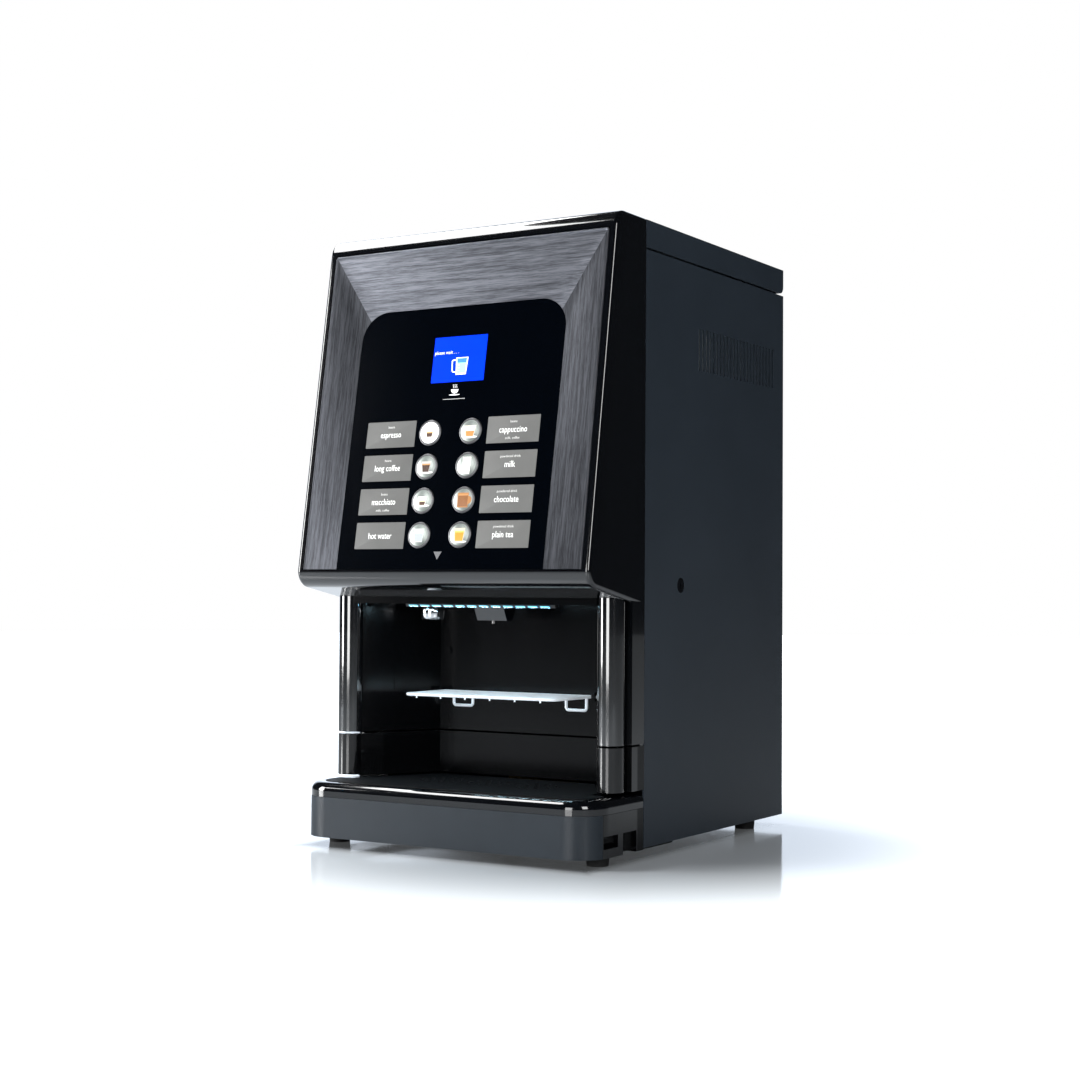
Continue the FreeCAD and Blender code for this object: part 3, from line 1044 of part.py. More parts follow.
def make_door_shell():
    """Gloss door moulding: rounded top and lip, frame round the bezel, two cheeks and the hinge barrel."""
    body = prism("door_body", "YZ", door_profile("0", "0", "0", DOOR_BACK), f"-{HALF}", HALF)
    back, top_limit = value(DOOR_BACK) - 1, value(LINE) + 40
    soften(body, "door_top_radius", lambda edge: runs_along(edge, "x") and edge.BoundBox.YMax < back
           and edge.BoundBox.ZMin > top_limit)
    soften(body, "door_lip_radius", lambda edge: runs_along(edge, "x") and edge.BoundBox.YMax < back - 50
           and edge.BoundBox.ZMax < value(LINE) - 5)
    side = value(HALF) - 0.01

    def outer_edge(edge):
        box = edge.BoundBox
        on_side = box.XMin > side or box.XMax < -side
        return on_side and not (box.YMin > back)

    soften(body, "door_edge_radius", outer_edge)
    front_set = "bezel_depth + seat_gap + bezel_ledge"
    cavity_back = f"({DOOR_BACK} + 1)"
    cavity = prism("door_cavity", "YZ", door_profile(front_set, "door_wall", "door_wall", cavity_back),
                   f"door_wall - {HALF}", f"{HALF} - door_wall")
    seat = block("bezel_seat", (f"border - seat_gap - {HALF}", f"{HALF} - border + seat_gap"),
                 ("-20", "bezel_depth + seat_gap"), ("-seat_gap", "fascia_height + seat_gap"))
    window = block("bezel_window", (f"border + ledge_width - {HALF}", f"{HALF} - border - ledge_width"),
                   ("-20", "bezel_depth + bezel_ledge + 3"), ("ledge_width", "fascia_height - ledge_width"))
    recess = on_fascia(fuse("bezel_recess", [seat, window]))
    niche = block("niche_gap", (f"-{NICHE_SIDE} - niche_wall - seat_gap",
                                f"{NICHE_SIDE} + niche_wall + seat_gap"),
                  (f"{SEAM} - niche_front", SEAM), (f"{BELLY} - 20", f"{BELLY} + 9"))
    corner = block("hinge_corner", (f"-{HALF} - 1", PIN_X), (PIN_Y, SEAM), ("0", "height + 1"))
    hollow = cut("door_hollow", body, [cavity, recess, niche])
    cheeks = [block("cheek", mirrored(side_sign, CHEEK_INNER, HALF), (CHEEK_FRONT, DOOR_BACK),
                    (DOOR_FOOT, f"{BELLY} + 1"))
              for side_sign in SIDES]
    trimmed = cut("door_trimmed", fuse("door_cheeked", [hollow] + cheeks), [corner])
    barrel = rod("barrel_tube", "z", "hinge_barrel", (PIN_X, PIN_Y), DOOR_FOOT, "height - 2")
    tools = []
    for level in DOOR_STRAPS:
        bore = "door_pin + run_gap"
        tools.append(rod("pin_bore", "z", bore, (PIN_X, PIN_Y), f"{level} - 1", f"{level} + 22.5"))
        tools.append(rod("strap_gap", "z", "hinge_slot", (PIN_X, PIN_Y), f"{level} - 0.5",
                         f"{level} + hinge_plate + 0.5"))
    return node("door_shell", cut("door_cut", fuse("door_fused", [trimmed, barrel]), tools))


def make_door_liner():
    """Inner panel that closes the back of the door, with two stiffening ribs."""
    across = (f"{PIN_X} + hinge_barrel + 0.5", f"{HALF} - door_wall - seat_gap")
    plate = block("liner_plate", across, (f"{DOOR_BACK} - 2.5", DOOR_BACK),
                  (LINE, "height - door_wall - seat_gap"))
    ribs = [block("liner_rib", (f"{across[0]} + 20", f"{across[1]} - 20"),
                  (f"{DOOR_BACK} - 8", f"{DOOR_BACK} - 2.5"),
                  (f"{LINE} + {offset}", f"{LINE} + {offset} + 3")) for offset in (60, 250)]
    return node("door_liner", fuse("liner_fused", [plate] + ribs))


def make_striker():
    """Bent striker arm on the door, whose lip the lock's cam holds."""
    arm_x = (f"{CAM_X} - 2 - striker_sheet", f"{CAM_X} - 2")
    up = (f"{LINE} + 1", f"{LINE} + 13")
    lip_y = f"({LOCK_Y} + cam_width/2 + 0.8)"
    pieces = [
        block("striker_foot", (f"{arm_x[0]} - 14", arm_x[1]), (DOOR_BACK, f"{DOOR_BACK} + striker_sheet"),
              up),
        block("striker_arm", arm_x, (DOOR_BACK, f"{lip_y} + 4"), up),
        block("striker_lip", (arm_x[1], f"{CAM_X} + cam_thickness"), (lip_y, f"{lip_y} + 4"), up),
    ]
    return node("door_striker", fuse("striker_fused", pieces))


def panel_outline(name, inset, low, high):
    """Pad the arched outline of the interface panel, less an inset at the top and sides."""
    across = (f"{inset} - panel_width/2", f"panel_width/2 - ({inset})")
    body = prism(name, "XZ", rectangle(across, ("0", f"panel_height - ({inset})")), low, high)
    soften(body, f"panel_corner - ({inset})", lambda edge: runs_along(edge, "y") and edge.BoundBox.ZMin > 50)
    return body


def arch_sketch(name, half, height, corner, depth, tilt):
    """Draw an arched outline, open to a level foot, as one wire at a depth behind the fascia."""
    half, height, corner = value(half), value(height), value(corner)
    slant = corner * (1 - math.sqrt(0.5))
    places = [(-half, 0), (half, 0), (half, height - corner), (half - corner, height),
              (corner - half, height), (-half, height - corner)]
    points = [Vector(across, 0, up) for across, up in places]
    right = Vector(half - slant, 0, height - slant)
    left = Vector(slant - half, 0, height - slant)
    edges = [
        Part.LineSegment(points[0], points[1]), Part.LineSegment(points[1], points[2]),
        Part.Arc(points[2], right, points[3]), Part.LineSegment(points[3], points[4]),
        Part.Arc(points[4], left, points[5]), Part.LineSegment(points[5], points[0]),
    ]
    wire = document.addObject("Part::Feature", name)
    wire.Shape = Part.Wire([edge.toShape() for edge in edges])
    wire.Placement = Placement(Vector(0, value(depth), 0), Rotation(Vector(1, 0, 0), -value(tilt)))
    return wire


def make_bezel():
    """Brushed bezel whose facets run from its outer edge down to the sunk interface panel."""
    half = f"{HALF} - border"
    slab = prism("bezel_slab", "XZ", rectangle((f"-({half})", half), ("0", "fascia_height")), "0",
                 "bezel_depth")
    soften(slab, "bezel_corner", lambda edge: runs_along(edge, "y") and edge.BoundBox.ZMin > 50)
    outer = arch_sketch("facet_outer", f"{half} - 0.4", "fascia_height - 0.4", "bezel_corner", "0", "0")
    inner = arch_sketch("facet_inner", "panel_width/2", "panel_height", "panel_corner", "recess_foot",
                        "recess_tilt")
    facets = document.addObject("Part::Loft", "facets")
    facets.Sections = [outer, inner]
    facets.Solid = True
    facets.Ruled = True
    hole = panel_outline("panel_hole", "-seat_gap", "-5", "bezel_depth + 5")
    bezel = cut("bezel_cut", cut("bezel_faceted", slab, [facets]), [hole])
    return node("fascia_bezel", on_fascia(bezel))


def button_place(side, row):
    """Give the place of a button on the panel, across it and up it."""
    return f"{side}*button_spread", f"button_first - {row}*button_pitch"


def make_panel():
    """Gloss interface panel with its button holes, screen window and label recesses."""
    plate = panel_outline("panel_plate", "0", "0", "panel_thickness")
    tools = []
    labels = {LEFT: "-label_left", RIGHT: "label_right"}
    for side in SIDES:
        for row in range(int(value("button_rows"))):
            across, up = button_place(side, row)
            tools.append(rod("button_hole", "y", "button_radius + seat_gap", (across, up), "-1",
                             "panel_thickness + 1"))
            middle = labels[side]
            tools.append(block("label_recess", (f"{middle} - label_width/2", f"{middle} + label_width/2"),
                               ("-1", "label_depth"), (f"{up} - label_height/2", f"{up} + label_height/2")))
    tools.append(block("screen_hole", ("screen_centre - screen_width/2", "screen_centre + screen_width/2"),
                       ("-1", "panel_thickness + 1"), ("screen_foot", "screen_foot + screen_height")))
    bosses = []
    for across in ("-panel_width/2 + 14", "0", "panel_width/2 - 14"):
        for up in ("ledge_width + 7", "164"):
            bosses.append(rod("panel_post", "y", "panel_boss", (across, up), "panel_thickness", "board_back"))
    return node("interface_panel", on_panel(fuse("panel_whole", [cut("panel_cut", plate, tools)] + bosses)))


def make_labels():
    """Backlit label plates beside the buttons, as one set."""
    plates = []
    for side, middle in ((LEFT, "-label_left"), (RIGHT, "label_right")):
        for row in range(int(value("button_rows"))):
            up = button_place(side, row)[1]
            gap = "seat_gap/3"
            plates.append(block("label", (f"{middle} - label_width/2 + {gap}",
                                          f"{middle} + label_width/2 - {gap}"),
                                ("0.05", "label_depth"),
                                (f"{up} - label_height/2 + {gap}", f"{up} + label_height/2 - {gap}")))
    return node("label_plates", on_panel(group("labels", plates)))


def make_screen():
    """Display module in its window, with the case that stands on the board."""
    face = block("screen_face", ("screen_centre - screen_width/2 + seat_gap",
                                 "screen_centre + screen_width/2 - seat_gap"),
                 ("0.2", "panel_thickness + seat_gap"),
                 ("screen_foot + seat_gap", "screen_foot + screen_height - seat_gap"))
    case = block("screen_case", ("screen_centre - screen_width/2 - 6", "screen_centre + screen_width/2 + 6"),
                 ("panel_thickness + seat_gap", "board_back"),
                 ("screen_foot - 6", "screen_foot + screen_height + 8"))
    return node("display_module", on_panel(fuse("screen_fused", [face, case])))


def make_board():
    """Control board behind the panel, with its processor, connectors and switches."""
    half = "panel_width/2 - board_margin"
    board = block("board_sheet", (f"-({half})", half), ("board_back", "board_back + board_thickness"),
                  ("ledge_width + 2", "panel_height - 20"))
    back = "board_back + board_thickness"
    parts = [
        block("processor", ("-14", "14"), (back, f"{back} + 2"), ("130", "158")),
        block("board_plug", ("-90", "-50"), (back, f"{back} + 9"), ("16", "26")),
        block("board_relay", ("50", "70"), (back, f"{back} + 12"), ("20", "48")),
        block("board_coil", ("-70", "-50"), (back, f"{back} + 12"), ("190", "210")),
    ]
    return node("control_board", on_panel(fuse("board_fused", [board] + parts)))


def make_button(side, row):
    """Round button: a domed cap, a flange behind the panel and a stem that reaches the board."""
    across, up = button_place(side, row)
    centre = (across, up)
    cap = rod("button_cap", "y", "button_radius", centre, "-button_proud", "panel_thickness + seat_gap")
    rim = rod("button_rim_disc", "y", "button_flange", centre, "panel_thickness + seat_gap",
              "panel_thickness + seat_gap + button_rim")
    stem = rod("button_stem_rod", "y", "button_stem", centre, "panel_thickness + seat_gap",
               "board_back - button_travel - seat_gap")
    label = f"button_{'left' if side == LEFT else 'right'}_{row + 1}"
    return node(label, on_panel(fuse("button_fused", [cap, rim, stem])))


def make_niche_liner():
    """Upper dispensing niche: ceiling, slanted sides, rear wall, shelf ears and bump clips."""
    pieces = [niche_wall("upper_wall", side, DOOR_FOOT, CEILING) for side in SIDES]
    wide = f"({NICHE_SIDE} + niche_wall)"
    front = f"({SEAM} - niche_front + seat_gap)"
    ceiling = [(f"-{wide}", front), (wide, front), (wide, COLUMN_Y),
               (f"{NICHE_REAR} + niche_wall", f"{NICHE_BACK} + niche_wall"),
               (f"-{NICHE_REAR} - niche_wall", f"{NICHE_BACK} + niche_wall"), (f"-{wide}", COLUMN_Y)]
    pieces.append(prism("niche_roof", "XY", ceiling, CEILING, f"{CEILING} + niche_wall"))
    pieces.append(block("niche_lip", (f"-{wide}", wide), (front, f"{front} + niche_wall"),
                        (CEILING, f"{BELLY} + 6")))
    rear = (NICHE_BACK, f"{NICHE_BACK} + niche_wall")
    pieces.append(block("niche_rear", (f"-{NICHE_REAR} - niche_wall", f"{NICHE_REAR} + niche_wall"), rear,
                        (DOOR_FOOT, f"{CEILING} + niche_wall")))
    ear_near = "(shelf_front_width/2 + 0.5)"
    tools = []
    for side in SIDES:
        flange = mirrored(side, WALL_AT_SEAM, f"{COLUMN_X} - 1.5")
        pieces.append(block("niche_flange", flange, (f"{DOOR_BACK} - niche_wall", DOOR_BACK),
                            (DOOR_FOOT, f"{CEILING} - 4")))
        ear = mirrored(side, ear_near, f"{ear_near} + shelf_ear")
        pieces.append(block("shelf_ear_block", ear, (f"{SHELF_PIVOT_Y} - 4", NICHE_BACK),
                            ("shelf_level - 4", "shelf_level + 4")))
        clip = (f"{side}*clip_spread/2", "clip_height")
        pieces.append(rod("bump_clip", "y", "clip_radius", clip, f"{NICHE_BACK} - clip_depth", NICHE_BACK))
        centre = (f"{side}*{COLUMN_X}", COLUMN_Y)
        tools.append(rod("column_gap", "z", "column_radius + seat_gap", centre, DOOR_FOOT, f"{BELLY} + 10"))
    tools.append(rod("shelf_bore", "x", "shelf_wire + run_gap", (SHELF_PIVOT_Y, "shelf_level"),
                     f"-{ear_near} - 5", f"{ear_near} + 5"))
    spout = SPOUT_Y
    tools.append(block("spout_hole", ("-spout_width/3 - seat_gap", "spout_width/3 + seat_gap"),
                       (f"{spout} - 8 - seat_gap", f"{spout} + 8 + seat_gap"),
                       (f"{CEILING} - 1", f"{CEILING} + 10")))
    tools.append(rod("nozzle_hole", "z", "nozzle_collar + seat_gap", ("-nozzle_side", spout),
                     f"{CEILING} - 1", f"{CEILING} + 10"))
    return node("niche_liner", cut("niche_cut", fuse("niche_fused", pieces), tools))


def make_columns():
    """Two gloss columns at the mouth of the niche, trimmed to the slope of the door's underside."""
    columns = []
    for side in SIDES:
        centre = (f"{side}*{COLUMN_X}", COLUMN_Y)
        tube = rod("column_tube", "z", "column_radius", centre, DOOR_FOOT, f"{BELLY} + 10")
        trim = block("column_trim", mirrored(side, f"{COLUMN_X} - 20", f"{COLUMN_X} + 20"), ("-60", "60"),
                     ("-seat_gap", "40"))
        trim.Placement.Rotation = Rotation(Vector(1, 0, 0), 1)
        trim.setExpression("Placement.Rotation.Angle", bound("-belly_slope"))
        trim.setExpression("Placement.Base.y", bound(f"{CHEEK_FRONT} - 60*cos(belly_slope)"))
        trim.setExpression("Placement.Base.z", bound(f"{BELLY} + 60*sin(belly_slope) - seat_gap"))
        columns.append(cut("column", tube, [trim]))
    return node("niche_columns", group("columns", columns))


def make_led_strip():
    """Light strip under the niche's ceiling, with a row of small lenses on its front."""
    front = f"{SEAM} - led_forward - led_depth/2"
    up = (f"{CEILING} - led_height", CEILING)
    pieces = [block("led_bar", ("-led_half - 2", "led_half + 2"), (front, f"{front} + led_depth"), up)]
    count = int(value("led_count"))
    for index in range(count):
        middle = f"({index} - {(count - 1) / 2})*led_pitch"
        pieces.append(block("led", (f"{middle} - led_length/2", f"{middle} + led_length/2"),
                            (f"{front} - led_lens", front), (f"{up[0]} + 0.6", f"{up[1]} - 0.6")))
    return node("led_strip", fuse("led_fused", pieces))


def make_coffee_spout():
    """Wedge-shaped coffee spout under the ceiling, with its neck and funnel through it."""
    half = "spout_width/2"
    outline = [(f"{SPOUT_Y} - spout_depth/2", CEILING),
               (f"{SPOUT_Y} - spout_tip/2", f"{CEILING} - spout_drop"),
               (f"{SPOUT_Y} + spout_tip/2", f"{CEILING} - spout_drop"),
               (f"{SPOUT_Y} + spout_depth/2", CEILING)]
    wedge = prism("spout_wedge", "YZ", outline, f"-{half}", half)
    neck = block("spout_neck", ("-spout_width/3", "spout_width/3"), (f"{SPOUT_Y} - 8", f"{SPOUT_Y} + 8"),
                 (CEILING, f"{CEILING} + 24"))
    funnel = block("spout_funnel", ("2 - spout_width/3", "spout_width/3 - 2"),
                   (f"{SPOUT_Y} - 6", f"{SPOUT_Y} + 6"),
                   (f"{CEILING} + 4", f"{CEILING} + 25"))
    tip = rod("spout_outlet", "z", "3.5", ("0", SPOUT_Y), f"{CEILING} - spout_drop - 3",
              f"{CEILING} - spout_drop + 1")
    bore = rod("spout_bore", "z", "2", ("0", SPOUT_Y), f"{CEILING} - spout_drop - 4", f"{CEILING} + 5")
    return node("coffee_spout", cut("spout_cut", fuse("spout_fused", [wedge, neck, tip]), [funnel, bore]))


def make_nozzle():
    """Ring nozzle for hot water and powder drinks, with the cup above the ceiling that feeds it."""
    centre = ("-nozzle_side", SPOUT_Y)
    ring = rod("nozzle_ring", "z", "nozzle_radius", centre, f"{CEILING} - spout_drop", f"{CEILING} - 2")
    collar = rod("nozzle_collar_tube", "z", "nozzle_collar", centre, f"{CEILING} - 3", f"{CEILING} + 22")
    cup = rod("nozzle_bore_low", "z", "nozzle_bore", centre, f"{CEILING} - spout_drop - 1", f"{CEILING} - 5")
    bore = rod("nozzle_bore_high", "z", "nozzle_collar - 2.5", centre, f"{CEILING} - 6", f"{CEILING} + 23")
    return node("water_nozzle", cut("nozzle_cut", fuse("nozzle_fused", [ring, collar]), [cup, bore]))


def make_cup_shelf():
    """Wire cup shelf that folds up against the niche's rear wall, with two loops that rest on the wall."""
    half = "(shelf_front_width/2 - shelf_wire)"
    front = f"({SHELF_PIVOT_Y} - shelf_reach)"
    frame_end = f"{half} + shelf_wire + shelf_bend"
    axle_end = "shelf_front_width/2 + shelf_slack + shelf_ear"
    inner_wire = "shelf_wire - shelf_bend"
    pieces = [
        rod("shelf_axle", "x", "shelf_wire", (SHELF_PIVOT_Y, "shelf_level"), f"-({axle_end})", axle_end),
        rod("shelf_front", "x", "shelf_wire", (front, "shelf_level"), f"-({frame_end})", frame_end),
    ]
    for part in ("1/3", "2/3"):
        along = f"{front} + shelf_reach*{part}"
        pieces.append(rod("shelf_cross", "x", "shelf_cross_wire", (along, "shelf_level"), f"-{half}", half))
    for side in SIDES:
        pieces.append(rod("shelf_side", "y", inner_wire, (f"{side}*{half}", "shelf_level"), front,
                          SHELF_PIVOT_Y))
    count = int(value("shelf_bars"))
    for index in range(count):
        across = f"-{half} + ({index} + 1)*2*{half}/({count} + 1)"
        pieces.append(rod("shelf_bar", "y", "shelf_cross_wire", (across, "shelf_level + seat_gap"), front,
                          SHELF_PIVOT_Y))
    leg_y = f"({NICHE_BACK} - seat_gap - shelf_wire - shelf_bend)"
    foot = "shelf_level - shelf_leg_drop"
    for side in SIDES:
        for place in ("shelf_leg_inner", "shelf_leg_outer"):
            across = f"{side}*{place}"
            pieces.append(rod("shelf_leg", "z", inner_wire, (across, leg_y), foot, "shelf_level"))
            pieces.append(rod("shelf_link", "y", inner_wire, (across, "shelf_level"), SHELF_PIVOT_Y, leg_y))
            for level in (foot, "shelf_level"):
                pieces.append(ball("shelf_bend_ball", "shelf_wire + shelf_bend", (across, leg_y, level)))
        span = mirrored(side, "shelf_leg_inner", "shelf_leg_outer")
        pieces.append(rod("shelf_loop", "x", inner_wire, (leg_y, foot), span[0], span[1]))
    return node("cup_shelf", fuse("shelf_fused", pieces))


# ---------------------------------------------------------------- drip tray


def tray_plan(inset):
    """Give the plan of the basin: wide in the base, narrowing between the niche walls."""
    wide = f"({ARM_INNER} - basin_gap - ({inset}))"
    narrow = f"({NICHE_REAR} - grille_wall_gap - ({inset}))"
    front = f"{BASE_FRONT} + tray_skin + seat_gap + {inset}"
    waist = f"{SEAM} - cheek_depth"
    back = f"{TRAY_BACK} - ({inset})"
    return [(f"-{wide}", front), (wide, front), (wide, waist), (narrow, back), (f"-{narrow}", back),
            (f"-{wide}", waist)]


def grille_plan(inset):
    """Give the plan of the grille: full width in front of the columns, tapering behind them."""
    wide = f"({HALF} - grille_inset - ({inset}))"
    step = f"({COLUMN_Y} - column_radius - grille_wall_gap - ({inset}))"
    waist = f"({NICHE_SIDE} - grille_wall_gap - ({inset}))"
    narrow = f"({NICHE_REAR} - grille_wall_gap - 4 - ({inset}))"
    front, back = f"{BASE_FRONT} + grille_inset + {inset}", f"{TRAY_BACK} - 4 - ({inset})"
    return [(f"-{wide}", front), (wide, front), (wide, step), (waist, step), (waist, COLUMN_Y),
            (narrow, back),
            (f"-{narrow}", back), (f"-{waist}", COLUMN_Y), (f"-{waist}", step), (f"-{wide}", step)]


def grille_prism(name, inset, low, high):
    """Pad the plan of the grille with its rounded front corners."""
    body = prism(name, "XY", grille_plan(inset), low, high)
    front = value(BASE_FRONT) + value(f"grille_inset + {inset}") + 1
    soften(body, f"base_corner - grille_inset - ({inset})",
           lambda edge: runs_along(edge, "z") and edge.BoundBox.YMax < front)
    return body


def make_tray_front():
    """Satin front of the drip tray, which wraps round the corners of the base."""
    outline = base_outline("front_plan", "0", "base_bottom", "rim_bottom - seat_gap")
    inner = base_outline("front_inner", "tray_skin", "0", "rim_bottom")
    box = block("front_box", (f"-{HALF} - 1", f"{HALF} + 1"),
                (f"{BASE_FRONT} - 1", f"{TRAY_SPLIT} - seat_gap"),
                ("0", "rim_bottom"))
    return node("tray_front", common("front_part", cut("front_skin", outline, [inner]), box))


def make_tray_basin():
    """Gloss tray: a rounded rim over the base and the basin under the grille."""
    rim = base_outline("rim_plan", "0", "rim_bottom", "rim_top", RIM_BACK)
    top, back = value("rim_top") - 0.01, value(RIM_BACK) - 1
    soften(rim, "rim_round", lambda edge: edge.BoundBox.ZMin > top and edge.BoundBox.YMin < back)
    tail = [(f"-{WALL_AT_SEAM} + grille_wall_gap + 2", f"{RIM_BACK} - 1"),
            (f"{WALL_AT_SEAM} - grille_wall_gap - 2", f"{RIM_BACK} - 1"),
            (f"{NICHE_REAR} - grille_wall_gap", TRAY_BACK), (f"grille_wall_gap - {NICHE_REAR}", TRAY_BACK)]
    rear = prism("rim_tail", "XY", tail, "rim_bottom", "rim_top")
    basin = prism("basin_body", "XY", tray_plan("0"), "basin_foot", "rim_bottom")
    seat = "rim_top + grille_proud - grille_thickness"
    tools = [
        grille_prism("grille_seat", "-seat_gap", seat, "rim_top + 1"),
        grille_prism("grille_under", "grille_ledge", "rim_bottom + basin_wall", "rim_top + 1"),
        prism("basin_hollow", "XY", tray_plan("basin_wall"), "basin_foot + basin_wall",
              "rim_bottom + basin_wall + 1"),
    ]
    return node("tray_basin", cut("basin_cut", fuse("basin_fused", [rim, rear, basin]), tools))


def make_grille():
    """Lift-out grille with three rounds of holes under the cup places, stepped in behind at the columns."""
    seat = "rim_top + grille_proud - grille_thickness"
    plate = grille_prism("grille_plate", "0", seat, f"{seat} + grille_thickness")
    low, high = f"{seat} - 1", f"{seat} + grille_thickness + 1"
    tools = []
    for place in (-1, 0, 1):
        for ring, count in ((0, 1), (1, 6), (2, 12)):
            for step in range(count):
                angle = f"{FULL_TURN * step / count}"
                across = f"{place}*cup_spread + {ring}*cup_ring*0.42*cos({angle})"
                along = f"{BASE_FRONT} + cup_back + {ring}*cup_ring*0.42*sin({angle})"
                tools.append(rod("drain_hole", "z", "cup_hole", (across, along), low, high))
    return node("drip_grille", cut("grille_cut", plate, tools))


# ---------------------------------------------------------------- build


def check(label, piece):
    """Stop the build if a sub-part has failed, is empty or isn't valid."""
    shape = piece.Shape
    if shape.isNull() or not shape.isValid() or not shape.Solids:
        raise RuntimeError(f"{label} has no valid solid")


def main():
    """Build every sub-part, check the document and write one STEP file for each."""
    fill_sheet()
    make_base_pan()
    make_side_panel(LEFT)
    make_side_panel(RIGHT)
    make_rear_panel()
    make_inner_frame()
    make_works_shelf()
    make_base_moulding()
    make_feet()
    make_top_cover()
    make_hinge_brackets()
    make_lock()
    make_power_inlet()
    make_rocker()
    make_screws()
    make_water_tank()
    make_boiler()
    make_pump()
    make_canisters()
    for index, label in enumerate(("auger_left", "auger_middle", "auger_right")):
        make_auger(index, label)
    make_gear_motors()
    make_mixer_bowl()
    make_impeller()
    make_hopper()
    make_hopper_lid()
    make_grinder()
    make_burr()
    make_brew_frame()
    make_piston()
    make_spindle()
    make_grounds_bin()
    make_power_supply()
    make_fan_frame()
    make_fan_rotor()
    make_door_shell()
    make_door_liner()
    make_striker()
    make_bezel()
    make_panel()
    make_labels()
    make_screen()
    make_board()
    for side in SIDES:
        for row in range(int(value("button_rows"))):
            make_button(side, row)
    make_niche_liner()
    make_columns()
    make_led_strip()
    make_coffee_spout()
    make_nozzle()
    make_cup_shelf()
    make_tray_front()
    make_tray_basin()
    make_grille()
    document.recompute()
    for piece in document.Objects:
        if "Invalid" in piece.State or "Error" in piece.State:
            raise RuntimeError(f"{piece.Name} did not recompute: {piece.State}")
    os.makedirs("parts", exist_ok=True)
    for label, piece in sub_parts.items():
        check(label, piece)
        piece.Shape.exportStep(f"parts/{label}.step")
    print(f"{len(sub_parts)} sub-parts written")


main()
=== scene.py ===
"""Looks of a table-top hot drinks machine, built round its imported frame.

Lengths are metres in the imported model's frame: X runs across the machine, Y from front to back, Z up.
"""

import sys
import json
import logging
import math
from dataclasses import dataclass, replace
from enum import Enum
from typing import Any, Callable, Sequence

import bmesh
import bpy
from mathutils import Matrix, Vector


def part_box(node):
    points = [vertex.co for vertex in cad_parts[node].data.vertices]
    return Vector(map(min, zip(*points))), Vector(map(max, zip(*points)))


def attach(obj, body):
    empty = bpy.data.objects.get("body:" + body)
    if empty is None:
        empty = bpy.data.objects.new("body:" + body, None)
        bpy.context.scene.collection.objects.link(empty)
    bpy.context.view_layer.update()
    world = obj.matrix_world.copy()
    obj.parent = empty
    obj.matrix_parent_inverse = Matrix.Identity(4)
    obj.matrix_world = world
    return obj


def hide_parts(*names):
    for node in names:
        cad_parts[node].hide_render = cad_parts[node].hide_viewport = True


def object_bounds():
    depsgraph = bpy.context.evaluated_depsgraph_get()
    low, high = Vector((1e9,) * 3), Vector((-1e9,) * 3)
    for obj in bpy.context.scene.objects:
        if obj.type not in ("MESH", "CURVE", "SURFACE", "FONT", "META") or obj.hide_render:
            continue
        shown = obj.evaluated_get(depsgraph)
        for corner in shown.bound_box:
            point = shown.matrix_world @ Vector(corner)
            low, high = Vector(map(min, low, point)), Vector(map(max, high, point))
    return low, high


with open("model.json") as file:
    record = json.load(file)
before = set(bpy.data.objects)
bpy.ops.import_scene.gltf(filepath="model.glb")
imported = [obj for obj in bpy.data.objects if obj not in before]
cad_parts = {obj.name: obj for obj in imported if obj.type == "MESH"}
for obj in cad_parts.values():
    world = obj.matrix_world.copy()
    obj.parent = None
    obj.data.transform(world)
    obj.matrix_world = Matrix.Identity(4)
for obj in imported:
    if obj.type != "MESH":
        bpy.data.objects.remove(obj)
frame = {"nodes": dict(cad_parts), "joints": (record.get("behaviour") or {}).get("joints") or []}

CAD_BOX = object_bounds()
LOG = logging.getLogger("drinks_machine")
Colour = tuple[float, float, float]
Point = tuple[float, float]

COAT_ROUGHNESS = 0.03
COAT_EDGE = 0.004
WEAR_WIDTH = 0.0009
INK_MIX = 0.25


# ------------------------------------------------------------------ shader graphs


